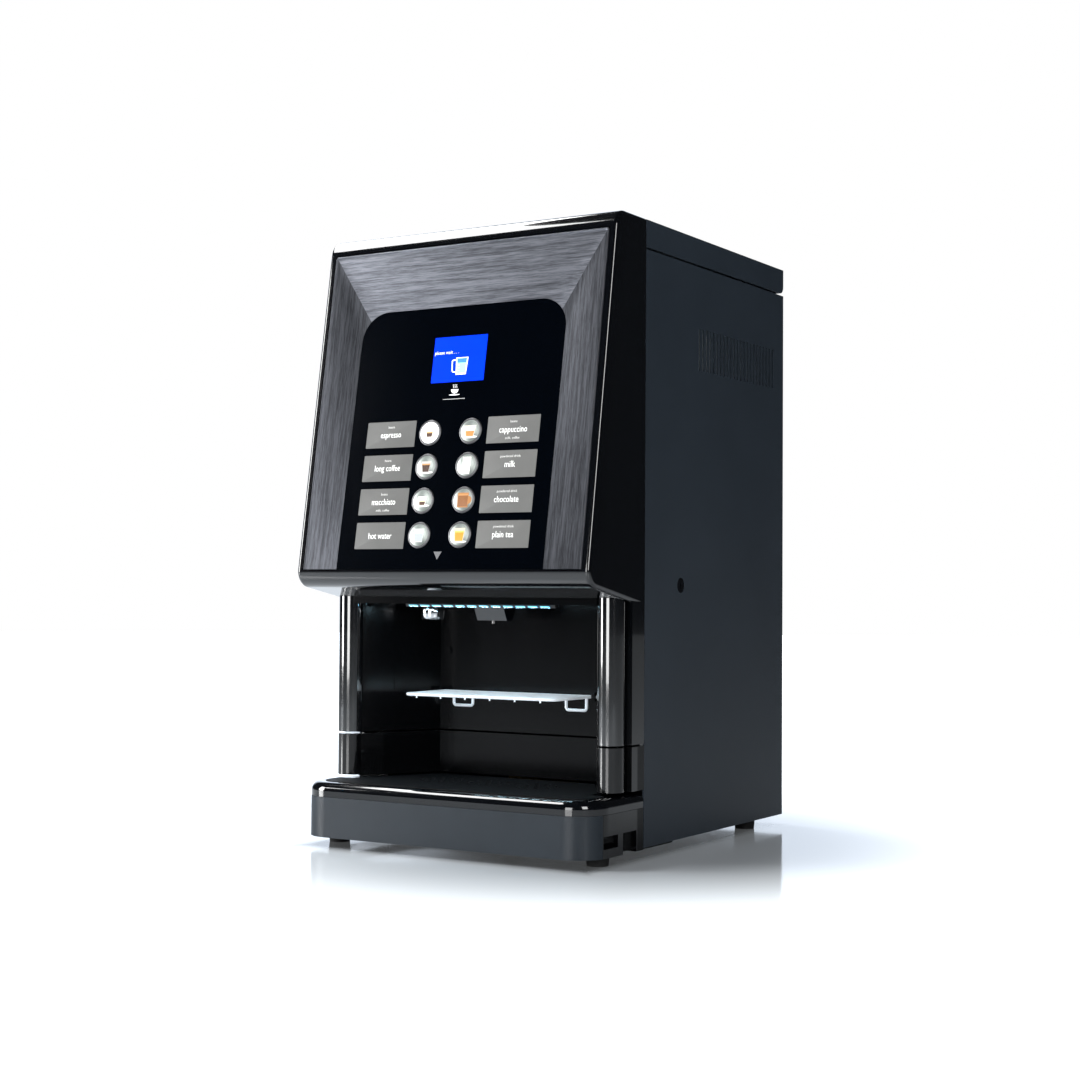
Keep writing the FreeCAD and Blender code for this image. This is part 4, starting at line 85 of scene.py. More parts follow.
class Graph:
    """Node tree with short calls for the nodes that the finishes use."""

    def __init__(self, tree: bpy.types.NodeTree) -> None:
        """Wrap a material's tree or a group's tree."""
        self.tree = tree

    def node(self, kind: str, **settings: Any) -> bpy.types.Node:
        """Add a node and set its properties.

        Args:
            kind: Blender's name for the node's type.
            settings: Properties to set on it.

        Returns:
            The new node.
        """
        made = self.tree.nodes.new(kind)
        for name, setting in settings.items():
            setattr(made, name, setting)
        return made

    def feed(self, socket: bpy.types.NodeSocket, source: Any) -> None:
        """Link a socket to another one, or set its value."""
        if isinstance(source, bpy.types.NodeSocket):
            self.tree.links.new(source, socket)
        else:
            socket.default_value = source

    def calc(self, operation: str, *inputs: Any, clamp: bool = False) -> bpy.types.NodeSocket:
        """Work out a number.

        Args:
            operation: Name of the Math node's operation.
            inputs: Sockets or numbers.
            clamp: Whether the result is kept between 0 and 1.

        Returns:
            The result's socket.
        """
        made = self.node("ShaderNodeMath", operation=operation, use_clamp=clamp)
        for index, source in enumerate(inputs):
            self.feed(made.inputs[index], source)
        return made.outputs[0]

    def vector(self, operation: str, *inputs: Any) -> bpy.types.NodeSocket:
        """Work out a vector, or a length for operations that give one."""
        made = self.node("ShaderNodeVectorMath", operation=operation)
        for index, source in enumerate(inputs):
            self.feed(made.inputs[index], source)
        return made.outputs["Value" if operation in ("LENGTH", "DOT_PRODUCT") else "Vector"]

    def ramp(self, source: Any, low: Any, high: Any, to_low: Any = 0.0,
             to_high: Any = 1.0) -> bpy.types.NodeSocket:
        """Map a number smoothly from one span to another."""
        made = self.node("ShaderNodeMapRange", interpolation_type="SMOOTHSTEP")
        for name, given in zip(("Value", "From Min", "From Max", "To Min", "To Max"),
                               (source, low, high, to_low, to_high)):
            self.feed(made.inputs[name], given)
        return made.outputs[0]

    def blend(self, factor: Any, first: Any, second: Any, way: str = "MIX") -> bpy.types.NodeSocket:
        """Mix two colours.

        Args:
            factor: Share of the second colour.
            first: First colour.
            second: Second colour.
            way: Blend mode.

        Returns:
            The mixed colour's socket.
        """
        made = self.node("ShaderNodeMix", data_type="RGBA", blend_type=way)
        self.feed(made.inputs["Factor"], factor)
        colours = [socket for socket in made.inputs if socket.type == "RGBA"]
        self.feed(colours[0], first)
        self.feed(colours[1], second)
        return next(socket for socket in made.outputs if socket.type == "RGBA")

    def noise(self, place: Any, scale: Any, detail: float = 3.0, rough: float = 0.55) -> bpy.types.NodeSocket:
        """Add a noise pattern and give its strength."""
        made = self.node("ShaderNodeTexNoise")
        for name, given in (("Vector", place), ("Scale", scale), ("Detail", detail), ("Roughness", rough)):
            self.feed(made.inputs[name], given)
        return made.outputs["Fac"]

    def cells(self, place: Any, scale: Any, feature: str = "F1") -> bpy.types.Node:
        """Add a cell pattern."""
        made = self.node("ShaderNodeTexVoronoi", feature=feature)
        self.feed(made.inputs["Vector"], place)
        self.feed(made.inputs["Scale"], scale)
        return made

    def axes(self, source: Any) -> tuple[bpy.types.NodeSocket, ...]:
        """Split a vector into its three numbers."""
        made = self.node("ShaderNodeSeparateXYZ")
        self.feed(made.inputs[0], source)
        return tuple(made.outputs)

    def joined(self, across: Any, along: Any, up: Any) -> bpy.types.NodeSocket:
        """Make a vector from three numbers."""
        made = self.node("ShaderNodeCombineXYZ")
        for socket, given in zip(made.inputs, (across, along, up)):
            self.feed(socket, given)
        return made.outputs[0]


COLOUR, NUMBER, VECTOR = "NodeSocketColor", "NodeSocketFloat", "NodeSocketVector"


class EffectGroup(Graph):
    """One shared surface effect, as a node group with named inputs and outputs."""

    def __init__(self, name: str, takes: dict[str, str], gives: dict[str, str]) -> None:
        """Make the empty group.

        Args:
            name: The group's name.
            takes: Input names with their socket types.
            gives: Output names with their socket types.
        """
        super().__init__(bpy.data.node_groups.new(name, "ShaderNodeTree"))
        for label, kind in takes.items():
            self.tree.interface.new_socket(name=label, in_out="INPUT", socket_type=kind)
        for label, kind in gives.items():
            self.tree.interface.new_socket(name=label, in_out="OUTPUT", socket_type=kind)
        self.entry = self.node("NodeGroupInput")
        self.exit = self.node("NodeGroupOutput")

    def take(self, label: str) -> bpy.types.NodeSocket:
        """Give the socket that carries an input into the group."""
        return self.entry.outputs[label]

    def give(self, label: str, source: bpy.types.NodeSocket) -> None:
        """Send a result out of the group."""
        self.tree.links.new(source, self.exit.inputs[label])


PATTERN_INPUTS = {"Base": COLOUR, "Tone": COLOUR, "Place": VECTOR, "Scale": NUMBER, "Contrast": NUMBER,
                  "Roughness": NUMBER, "Spread": NUMBER}
PATTERN_OUTPUTS = {"Color": COLOUR, "Roughness": NUMBER, "Height": NUMBER}


class Pattern(Enum):
    """Surface patterns that a finish can have."""

    GRAIN = "moulded_grain"
    PAINT = "powder_paint"
    BRUSHED = "brushed_lines"
    SPUN = "spun_lines"
    SPANGLE = "zinc_spangle"
    LATTICE = "embossed_lattice"
    POLISH = "polish_marks"


def moulded_grain(group: EffectGroup) -> None:
    """Fine moulding grain with slow colour drift."""
    place, scale = group.take("Place"), group.take("Scale")
    fine = group.noise(place, scale, 4.0, 0.6)
    drift = group.noise(place, group.calc("MULTIPLY", scale, 0.02), 2.0)
    mixed = group.calc("MULTIPLY_ADD", fine, 0.55, group.calc("MULTIPLY", drift, 0.45))
    share = group.calc("MULTIPLY", group.ramp(mixed, 0.3, 0.7), group.take("Contrast"))
    group.give("Color", group.blend(share, group.take("Base"), group.take("Tone")))
    swing = group.calc("SUBTRACT", fine, 0.5)
    group.give("Roughness", group.calc("MULTIPLY_ADD", swing, group.take("Spread"), group.take("Roughness")))
    group.give("Height", fine)


def powder_paint(group: EffectGroup) -> None:
    """Powder paint: a slight orange peel under fine specks."""
    place, scale = group.take("Place"), group.take("Scale")
    peel = group.noise(place, scale, 2.0, 0.45)
    specks = group.noise(place, group.calc("MULTIPLY", scale, 6.0), 2.0, 0.7)
    drift = group.noise(place, 9.0, 3.0, 0.5)
    toned = group.ramp(group.calc("MULTIPLY_ADD", specks, 0.4, group.calc("MULTIPLY", drift, 0.6)), 0.32,
                       0.68)
    share = group.calc("MULTIPLY", toned, group.take("Contrast"))
    group.give("Color", group.blend(share, group.take("Base"), group.take("Tone")))
    swing = group.calc("SUBTRACT",
                       group.calc("MULTIPLY_ADD", drift, 0.5, group.calc("MULTIPLY", specks, 0.5)), 0.5)
    group.give("Roughness", group.calc("MULTIPLY_ADD", swing, group.take("Spread"), group.take("Roughness")))
    group.give("Height", group.calc("MULTIPLY_ADD", specks, 0.25, group.calc("MULTIPLY", peel, 0.75)))


def brushed_lines(group: EffectGroup) -> None:
    """Brushed lines in the direction in which the place is squeezed."""
    place, scale = group.take("Place"), group.take("Scale")
    lines = group.noise(place, scale, 3.0, 0.75)
    streaks = group.noise(place, group.calc("MULTIPLY", scale, 0.23), 2.0, 0.5)
    both = group.calc("MULTIPLY_ADD", lines, 0.65, group.calc("MULTIPLY", streaks, 0.35))
    share = group.calc("MULTIPLY", group.ramp(both, 0.36, 0.64), group.take("Contrast"))
    group.give("Color", group.blend(share, group.take("Base"), group.take("Tone")))
    swing = group.calc("SUBTRACT", both, 0.5)
    group.give("Roughness", group.calc("MULTIPLY_ADD", swing, group.take("Spread"), group.take("Roughness")))
    group.give("Height", lines)


def spun_lines(group: EffectGroup) -> None:
    """Circular tool lines round the piece's own Z axis, with the fans of light that they throw."""
    across, along, _ = group.axes(group.take("Place"))
    radius = group.calc("SQRT",
                        group.calc("ADD", group.calc("MULTIPLY", across, across),
                                   group.calc("MULTIPLY", along, along)))
    angle = group.calc("ARCTAN2", along, across)
    rings = group.noise(group.joined(group.calc("MULTIPLY", radius, 9.0),
                                     group.calc("MULTIPLY", angle, 0.006), 0.0),
                        group.take("Scale"), 2.0, 0.7)
    fan = group.calc("SINE", group.calc("MULTIPLY_ADD", angle, 2.0, 0.9))
    fans = group.calc("MULTIPLY_ADD", fan, 0.32, 0.5)
    both = group.calc("MULTIPLY_ADD", rings, 0.45, group.calc("MULTIPLY", fans, 0.55))
    share = group.calc("MULTIPLY", group.ramp(both, 0.25, 0.75), group.take("Contrast"))
    group.give("Color", group.blend(share, group.take("Base"), group.take("Tone")))
    swing = group.calc("SUBTRACT", rings, 0.5)
    group.give("Roughness", group.calc("MULTIPLY_ADD", swing, group.take("Spread"), group.take("Roughness")))
    group.give("Height", rings)


def zinc_spangle(group: EffectGroup) -> None:
    """Crystal flowers of zinc-coated sheet."""
    cells = group.cells(group.take("Place"), group.take("Scale"))
    tint, _, _ = group.axes(cells.outputs["Color"])
    cloud = group.noise(group.take("Place"), group.calc("MULTIPLY", group.take("Scale"), 3.0), 3.0)
    both = group.calc("MULTIPLY_ADD", tint, 0.6, group.calc("MULTIPLY", cloud, 0.4))
    group.give("Color", group.blend(group.calc("MULTIPLY", both, group.take("Contrast")), group.take("Base"),
                                    group.take("Tone")))
    swing = group.calc("SUBTRACT", both, 0.5)
    group.give("Roughness", group.calc("MULTIPLY_ADD", swing, group.take("Spread"), group.take("Roughness")))
    group.give("Height", cloud)


def embossed_lattice(group: EffectGroup) -> None:
    """Diagonal lattice of small raised lozenges, with grain between them."""
    across, along, up = group.axes(group.take("Place"))
    scale = group.take("Scale")
    first = group.calc("MULTIPLY", group.calc("ADD", across, along), scale)
    second = group.calc("MULTIPLY", group.calc("SUBTRACT", across, along), scale)
    waves = group.calc("MULTIPLY", group.calc("SINE", first), group.calc("SINE", second))
    knobs = group.ramp(waves, -0.1, 0.55)
    fine = group.noise(group.joined(across, along, up), group.calc("MULTIPLY", scale, 2.0), 3.0)
    share = group.calc("MULTIPLY", group.calc("MULTIPLY_ADD", knobs, 0.8, group.calc("MULTIPLY", fine, 0.2)),
                       group.take("Contrast"))
    group.give("Color", group.blend(share, group.take("Base"), group.take("Tone")))
    group.give("Roughness", group.calc("MULTIPLY_ADD", group.calc("SUBTRACT", 0.5, knobs),
                                       group.take("Spread"), group.take("Roughness")))
    group.give("Height", group.calc("MULTIPLY_ADD", fine, 0.1, knobs))


def polish_marks(group: EffectGroup) -> None:
    """Polished surface with faint wipe marks and a few specks of dust."""
    place, scale = group.take("Place"), group.take("Scale")
    wipes = group.noise(group.vector("MULTIPLY", place, (1.0, 1.0, 0.25)), scale, 3.0, 0.6)
    specks = group.ramp(group.cells(place, group.calc("MULTIPLY", scale, 14.0)).outputs["Distance"], 0.10,
                        0.04)
    chosen = group.calc("MULTIPLY", specks,
                        group.ramp(group.noise(place, group.calc("MULTIPLY", scale, 2.3)), 0.55, 0.7))
    mixed = group.calc("ADD", group.calc("MULTIPLY", wipes, 0.35), chosen, clamp=True)
    group.give("Color", group.blend(group.calc("MULTIPLY", mixed, group.take("Contrast")), group.take("Base"),
                                    group.take("Tone")))
    swing = group.calc("ADD", group.calc("SUBTRACT", wipes, 0.5), chosen)
    group.give("Roughness", group.calc("MULTIPLY_ADD", swing, group.take("Spread"), group.take("Roughness")))
    group.give("Height", wipes)


def edge_wear(group: EffectGroup) -> None:
    """Paler tone on sharp edges, broken up by noise."""
    bevel = group.node("ShaderNodeBevel", samples=4)
    group.feed(bevel.inputs["Radius"], group.take("Width"))
    flat = group.node("ShaderNodeNewGeometry")
    turned = group.calc("SUBTRACT", 1.0,
                        group.vector("DOT_PRODUCT", bevel.outputs[0], flat.outputs["Normal"]))
    broken = group.noise(group.take("Place"), 160.0, 3.0)
    mask = group.calc("MULTIPLY", group.ramp(turned, 0.02, 0.25), group.ramp(broken, 0.35, 0.6))
    mask = group.calc("MULTIPLY", mask, group.take("Amount"), clamp=True)
    group.give("Color", group.blend(mask, group.take("Base"), group.take("Worn")))
    group.give("Mask", mask)


class Effects:
    """The shared effect groups, each built once when a finish first asks for it."""

    makers: dict[Pattern, Callable[[EffectGroup], None]] = {
        Pattern.GRAIN: moulded_grain, Pattern.PAINT: powder_paint, Pattern.BRUSHED: brushed_lines,
        Pattern.SPUN: spun_lines, Pattern.SPANGLE: zinc_spangle, Pattern.LATTICE: embossed_lattice,
        Pattern.POLISH: polish_marks,
    }

    def __init__(self) -> None:
        """Start with no groups."""
        self.made: dict[str, bpy.types.NodeTree] = {}

    def pattern(self, pattern: Pattern) -> bpy.types.NodeTree:
        """Give the group of a surface pattern."""
        if pattern.value not in self.made:
            group = EffectGroup(pattern.value, PATTERN_INPUTS, PATTERN_OUTPUTS)
            self.makers[pattern](group)
            self.made[pattern.value] = group.tree
        return self.made[pattern.value]

    def wear(self) -> bpy.types.NodeTree:
        """Give the edge wear group."""
        if "edge_wear" not in self.made:
            takes = {"Base": COLOUR, "Worn": COLOUR, "Place": VECTOR, "Width": NUMBER, "Amount": NUMBER}
            group = EffectGroup("edge_wear", takes, {"Color": COLOUR, "Mask": NUMBER})
            edge_wear(group)
            self.made["edge_wear"] = group.tree
        return self.made["edge_wear"]


@dataclass(frozen=True)
class Finish:
    """One material: its colours, pattern and gloss, and how far back its lacquer reaches if not all over."""

    name: str
    base: Colour
    tone: Colour
    pattern: Pattern = Pattern.GRAIN
    scale: float = 900.0
    contrast: float = 0.5
    roughness: float = 0.45
    spread: float = 0.12
    relief: float = 0.00002
    metallic: float = 0.0
    specular: float = 0.5
    coat: float = 0.0
    clear: float = 0.0
    refraction: float = 1.45
    glow: float = 0.0
    wear: float = 0.0
    worn: Colour = (0.3, 0.31, 0.32)
    squeeze: tuple[float, float, float] = (1.0, 1.0, 1.0)
    coat_until: float | None = None
    ink: bool = False

    def material(self, effects: Effects) -> bpy.types.Material:
        """Build the material, or give it if it has been built.

        Args:
            effects: The shared effect groups.

        Returns:
            The material.
        """
        known = bpy.data.materials.get(self.name)
        if known is not None:
            return known
        made = bpy.data.materials.new(self.name)
        made.use_nodes = True
        made.diffuse_color = (*self.base, 1.0)
        graph = Graph(made.node_tree)
        shader = graph.tree.nodes["Principled BSDF"]
        coordinates = graph.node("ShaderNodeTexCoord").outputs["Object"]
        place = graph.vector("MULTIPLY", coordinates, self.squeeze)
        pattern = graph.node("ShaderNodeGroup", node_tree=effects.pattern(self.pattern))
        base: Any = (*self.base, 1.0)
        tone: Any = (*self.tone, 1.0)
        if self.ink:
            printed = graph.node("ShaderNodeAttribute", attribute_name="ink").outputs["Color"]
            base = printed
            tone = graph.blend(INK_MIX, printed, (*self.tone, 1.0))
        for label, given in (("Base", base), ("Tone", tone), ("Place", place), ("Scale", self.scale),
                             ("Contrast", self.contrast), ("Roughness", self.roughness),
                             ("Spread", self.spread)):
            graph.feed(pattern.inputs[label], given)
        colour = pattern.outputs["Color"]
        if self.wear:
            worn = graph.node("ShaderNodeGroup", node_tree=effects.wear())
            for label, given in (("Base", colour), ("Worn", (*self.worn, 1.0)), ("Place", place),
                                 ("Width", WEAR_WIDTH), ("Amount", self.wear)):
                graph.feed(worn.inputs[label], given)
            colour = worn.outputs["Color"]
        graph.feed(shader.inputs["Base Color"], colour)
        graph.feed(shader.inputs["Roughness"], pattern.outputs["Roughness"])
        if self.relief:
            bump = graph.node("ShaderNodeBump")
            graph.feed(bump.inputs["Height"], pattern.outputs["Height"])
            bump.inputs["Distance"].default_value = self.relief
            graph.feed(shader.inputs["Normal"], bump.outputs[0])
        if self.glow:
            graph.feed(shader.inputs["Emission Color"], colour)
        for label, given in (("Metallic", self.metallic), ("Specular IOR Level", self.specular),
                             ("Coat Weight", self.coat), ("Coat Roughness", COAT_ROUGHNESS),
                             ("Transmission Weight", self.clear), ("IOR", self.refraction),
                             ("Emission Strength", self.glow)):
            shader.inputs[label].default_value = given
        if self.coat_until is not None:
            _, depth, _ = graph.axes(coordinates)
            graph.feed(shader.inputs["Coat Weight"],
                       graph.ramp(depth, self.coat_until + COAT_EDGE, self.coat_until))
        return made


SHELL = Finish("gloss_shell_finish", (0.0016, 0.0020, 0.0030), (0.0050, 0.0060, 0.0078), Pattern.POLISH,
               scale=26.0, contrast=0.5, roughness=0.10, spread=0.05, relief=0.0, coat=1.0)
COLUMN = Finish("column_finish", (0.0016, 0.0020, 0.0030), (0.0050, 0.0060, 0.0078), Pattern.POLISH,
                scale=26.0, contrast=0.5, roughness=0.10, spread=0.05, relief=0.0, coat=1.0, specular=1.0,
                refraction=1.6)
NICHE_WALL = Finish("niche_wall_finish", (0.0012, 0.0014, 0.0018), (0.0035, 0.0040, 0.0048), Pattern.POLISH,
                    scale=26.0, contrast=0.5, roughness=0.16, spread=0.05, relief=0.0, specular=0.32)
BASE = replace(NICHE_WALL, name="base_moulding_finish", coat_until=-0.120)
PAINT = Finish("painted_steel_finish", (0.0225, 0.0310, 0.0420), (0.0320, 0.0430, 0.0570), Pattern.PAINT,
               scale=900.0, contrast=0.7, roughness=0.43, spread=0.14, relief=0.000012, wear=0.5,
               worn=(0.05, 0.06, 0.07))
BEZEL = Finish("brushed_front_finish", (0.070, 0.074, 0.087), (0.225, 0.236, 0.270), Pattern.BRUSHED,
               scale=1500.0, contrast=0.9, roughness=0.36, spread=0.22, relief=0.000010, metallic=0.8,
               squeeze=(0.030, 1.0, 1.0))
# The side facets take a darker copy of the brushed finish. Their upright brushing is real, but their darker
# colour is painted shade, and BEZEL's lighter top is the lit copy.
BEZEL_SHADED_SIDE = replace(BEZEL, name="brushed_side_painted_shade_finish", base=(0.027, 0.029, 0.034),
                     tone=(0.089, 0.093, 0.107), squeeze=(1.0, 0.030, 1.0))
GLASS_BLACK = Finish("gloss_panel_finish", (0.0004, 0.0010, 0.0022), (0.0014, 0.0022, 0.0036), Pattern.POLISH,
                     scale=22.0, contrast=0.4, roughness=0.10, spread=0.05, relief=0.0, specular=0.25)
SLATE = Finish("satin_base_finish", (0.0105, 0.0160, 0.0225), (0.0170, 0.0250, 0.0345), Pattern.GRAIN,
               scale=1500.0, contrast=0.7, roughness=0.42, spread=0.16, relief=0.00002, wear=0.4,
               worn=(0.05, 0.055, 0.06))
GRILLE = Finish("grille_finish", (0.0010, 0.0018, 0.0028), (0.0080, 0.0115, 0.0160), Pattern.LATTICE,
                scale=1150.0, contrast=0.95, roughness=0.52, spread=0.20, relief=0.0005, specular=0.2)
# The unlit caps' glow is painted light: a painted sheen that brightens the spun metal.
BUTTON = Finish("button_metal_finish", (0.15, 0.17, 0.16), (0.50, 0.54, 0.51), Pattern.SPUN, scale=260.0,
                contrast=0.95, roughness=0.38, spread=0.2, relief=0.00001, metallic=0.85, glow=0.30)
BUTTON_LIT = Finish("lit_button_finish", (0.86, 0.88, 0.86), (0.98, 0.99, 0.97), Pattern.SPUN, scale=260.0,
                    contrast=0.6, roughness=0.4, spread=0.1, relief=0.0, glow=1.0)
# The rim's small glow is painted light too.
BUTTON_RIM = Finish("button_rim_finish", (0.10, 0.10, 0.105), (0.30, 0.30, 0.31), Pattern.SPUN, scale=260.0,
                    contrast=0.7, roughness=0.3, spread=0.1, relief=0.0, metallic=0.9, glow=0.05)
LABEL = Finish("label_print_finish", (0.098, 0.099, 0.096), (0.128, 0.128, 0.124), Pattern.GRAIN,
               scale=1400.0, contrast=0.8, roughness=0.5, spread=0.1, relief=0.000006, glow=0.85,
               specular=0.15)
SCREEN = Finish("screen_finish", (0.0001, 0.026, 0.70), (0.0002, 0.036, 0.78), Pattern.GRAIN, scale=2600.0,
                contrast=0.5, roughness=0.2, spread=0.06, relief=0.0, glow=1.05, specular=0.15)
INK = Finish("printed_ink_finish", (0.5, 0.5, 0.5), (0.9, 0.9, 0.9), Pattern.GRAIN, scale=2200.0,
             contrast=0.2, roughness=0.4, spread=0.1, relief=0.0, glow=0.75, ink=True, specular=0.2)
LENS = Finish("light_lens_finish", (0.10, 0.55, 0.80), (0.42, 0.86, 1.0), Pattern.GRAIN, scale=700.0,
              contrast=1.0, roughness=0.3, spread=0.1, relief=0.0, glow=0.9)
LENS_UNDER = Finish("light_underside_finish", (0.45, 0.80, 1.0), (0.70, 0.93, 1.0), Pattern.GRAIN,
                    scale=700.0, contrast=1.0, roughness=0.3, spread=0.1, relief=0.0, glow=52.0)
CHROME = Finish("chrome_finish", (0.62, 0.64, 0.66), (0.78, 0.79, 0.80), Pattern.POLISH, scale=60.0,
                contrast=0.5, roughness=0.09, spread=0.07, relief=0.0, metallic=1.0)
# The wires' glow, in their pale blue colour, is painted light: it stands in for the light strip's light
# falling on them.
WIRE = Finish("shelf_wire_finish", (0.78, 0.87, 0.94), (0.92, 0.97, 1.00), Pattern.BRUSHED, scale=900.0,
              contrast=0.6, roughness=0.34, spread=0.12, relief=0.0, metallic=0.25, glow=0.30,
              squeeze=(1.0, 0.1, 1.0))
ZINC = Finish("galvanised_finish", (0.34, 0.36, 0.38), (0.58, 0.60, 0.62), Pattern.SPANGLE, scale=130.0,
              contrast=0.8, roughness=0.40, spread=0.25, relief=0.00001, metallic=0.9, wear=0.4,
              worn=(0.7, 0.7, 0.7))
STEEL = Finish("turned_steel_finish", (0.40, 0.40, 0.39), (0.66, 0.66, 0.64), Pattern.BRUSHED, scale=900.0,
               contrast=0.7, roughness=0.28, spread=0.16, relief=0.00001, metallic=1.0,
               squeeze=(1.0, 1.0, 0.05), wear=0.5, worn=(0.75, 0.75, 0.74))
BRASS = Finish("machined_brass_finish", (0.46, 0.31, 0.10), (0.72, 0.55, 0.25), Pattern.BRUSHED, scale=700.0,
               contrast=0.7, roughness=0.3, spread=0.2, relief=0.00001, metallic=1.0,
               squeeze=(1.0, 0.05, 1.0), wear=0.4, worn=(0.85, 0.72, 0.45))
DRAWN = Finish("drawn_steel_finish", (0.36, 0.35, 0.33), (0.62, 0.60, 0.56), Pattern.BRUSHED, scale=420.0,
               contrast=0.8, roughness=0.26, spread=0.16, relief=0.00001, metallic=1.0,
               squeeze=(1.0, 1.0, 0.04), wear=0.3, worn=(0.7, 0.69, 0.66))
MOULDED = Finish("black_moulding_finish", (0.012, 0.013, 0.014), (0.026, 0.027, 0.029), Pattern.GRAIN,
                 scale=1300.0, contrast=0.7, roughness=0.50, spread=0.16, relief=0.00003, wear=0.3,
                 worn=(0.06, 0.06, 0.062))
PALE = Finish("pale_moulding_finish", (0.52, 0.51, 0.48), (0.68, 0.67, 0.64), Pattern.GRAIN, scale=1100.0,
              contrast=0.8, roughness=0.42, spread=0.14, relief=0.00002)
TRANSLUCENT = Finish("translucent_finish", (0.62, 0.66, 0.68), (0.78, 0.82, 0.84), Pattern.GRAIN, scale=500.0,
                     contrast=0.6, roughness=0.30, spread=0.12, relief=0.00002, clear=0.72, refraction=1.18)
RUBBER = Finish("rubber_finish", (0.008, 0.008, 0.008), (0.020, 0.020, 0.021), Pattern.GRAIN, scale=800.0,
                contrast=0.8, roughness=0.72, spread=0.14, relief=0.00005)
CIRCUIT = Finish("circuit_finish", (0.004, 0.075, 0.028), (0.012, 0.135, 0.050), Pattern.LATTICE,
                 scale=2100.0, contrast=0.8, roughness=0.35, spread=0.14, relief=0.00002)

NODE_FINISHES: dict[Finish, tuple[str, ...]] = {
    SHELL: ("door_shell", "tray_basin", "lock_barrel", "coffee_spout"),
    COLUMN: ("niche_columns",),
    NICHE_WALL: ("niche_liner",),
    BASE: ("base_moulding",),
    PAINT: ("side_panel_left", "side_panel_right", "rear_panel", "top_cover"),
    BEZEL: ("fascia_bezel",),
    GLASS_BLACK: ("interface_panel",),
    SLATE: ("tray_front",),
    GRILLE: ("drip_grille",),
    LABEL: ("label_plates",),
    SCREEN: ("display_module",),
    WIRE: ("cup_shelf",),
    CHROME: ("water_nozzle",),
    LENS: ("led_strip",),
    ZINC: ("base_pan", "inner_frame", "works_shelf", "power_supply"),
    STEEL: ("hinge_brackets", "panel_screws", "gear_motors", "grinder_burr", "brew_spindle", "door_striker"),
    BRASS: ("pump",),
    DRAWN: ("boiler",),
    MOULDED: ("power_inlet", "power_rocker", "hopper_lid", "grinder_body", "brew_frame", "grounds_container",
              "fan_frame", "fan_rotor", "door_liner"),
    PALE: ("auger_left", "auger_middle", "auger_right", "mixer_impeller", "brew_piston"),
    TRANSLUCENT: ("water_tank", "powder_canisters", "mixer_bowl", "bean_hopper"),
    RUBBER: ("rubber_feet",),
    CIRCUIT: ("control_board",),
    BUTTON: tuple(f"button_{side}_{row}" for side in ("left", "right") for row in (1, 2, 3, 4)),
}


# ------------------------------------------------------------------ mesh making


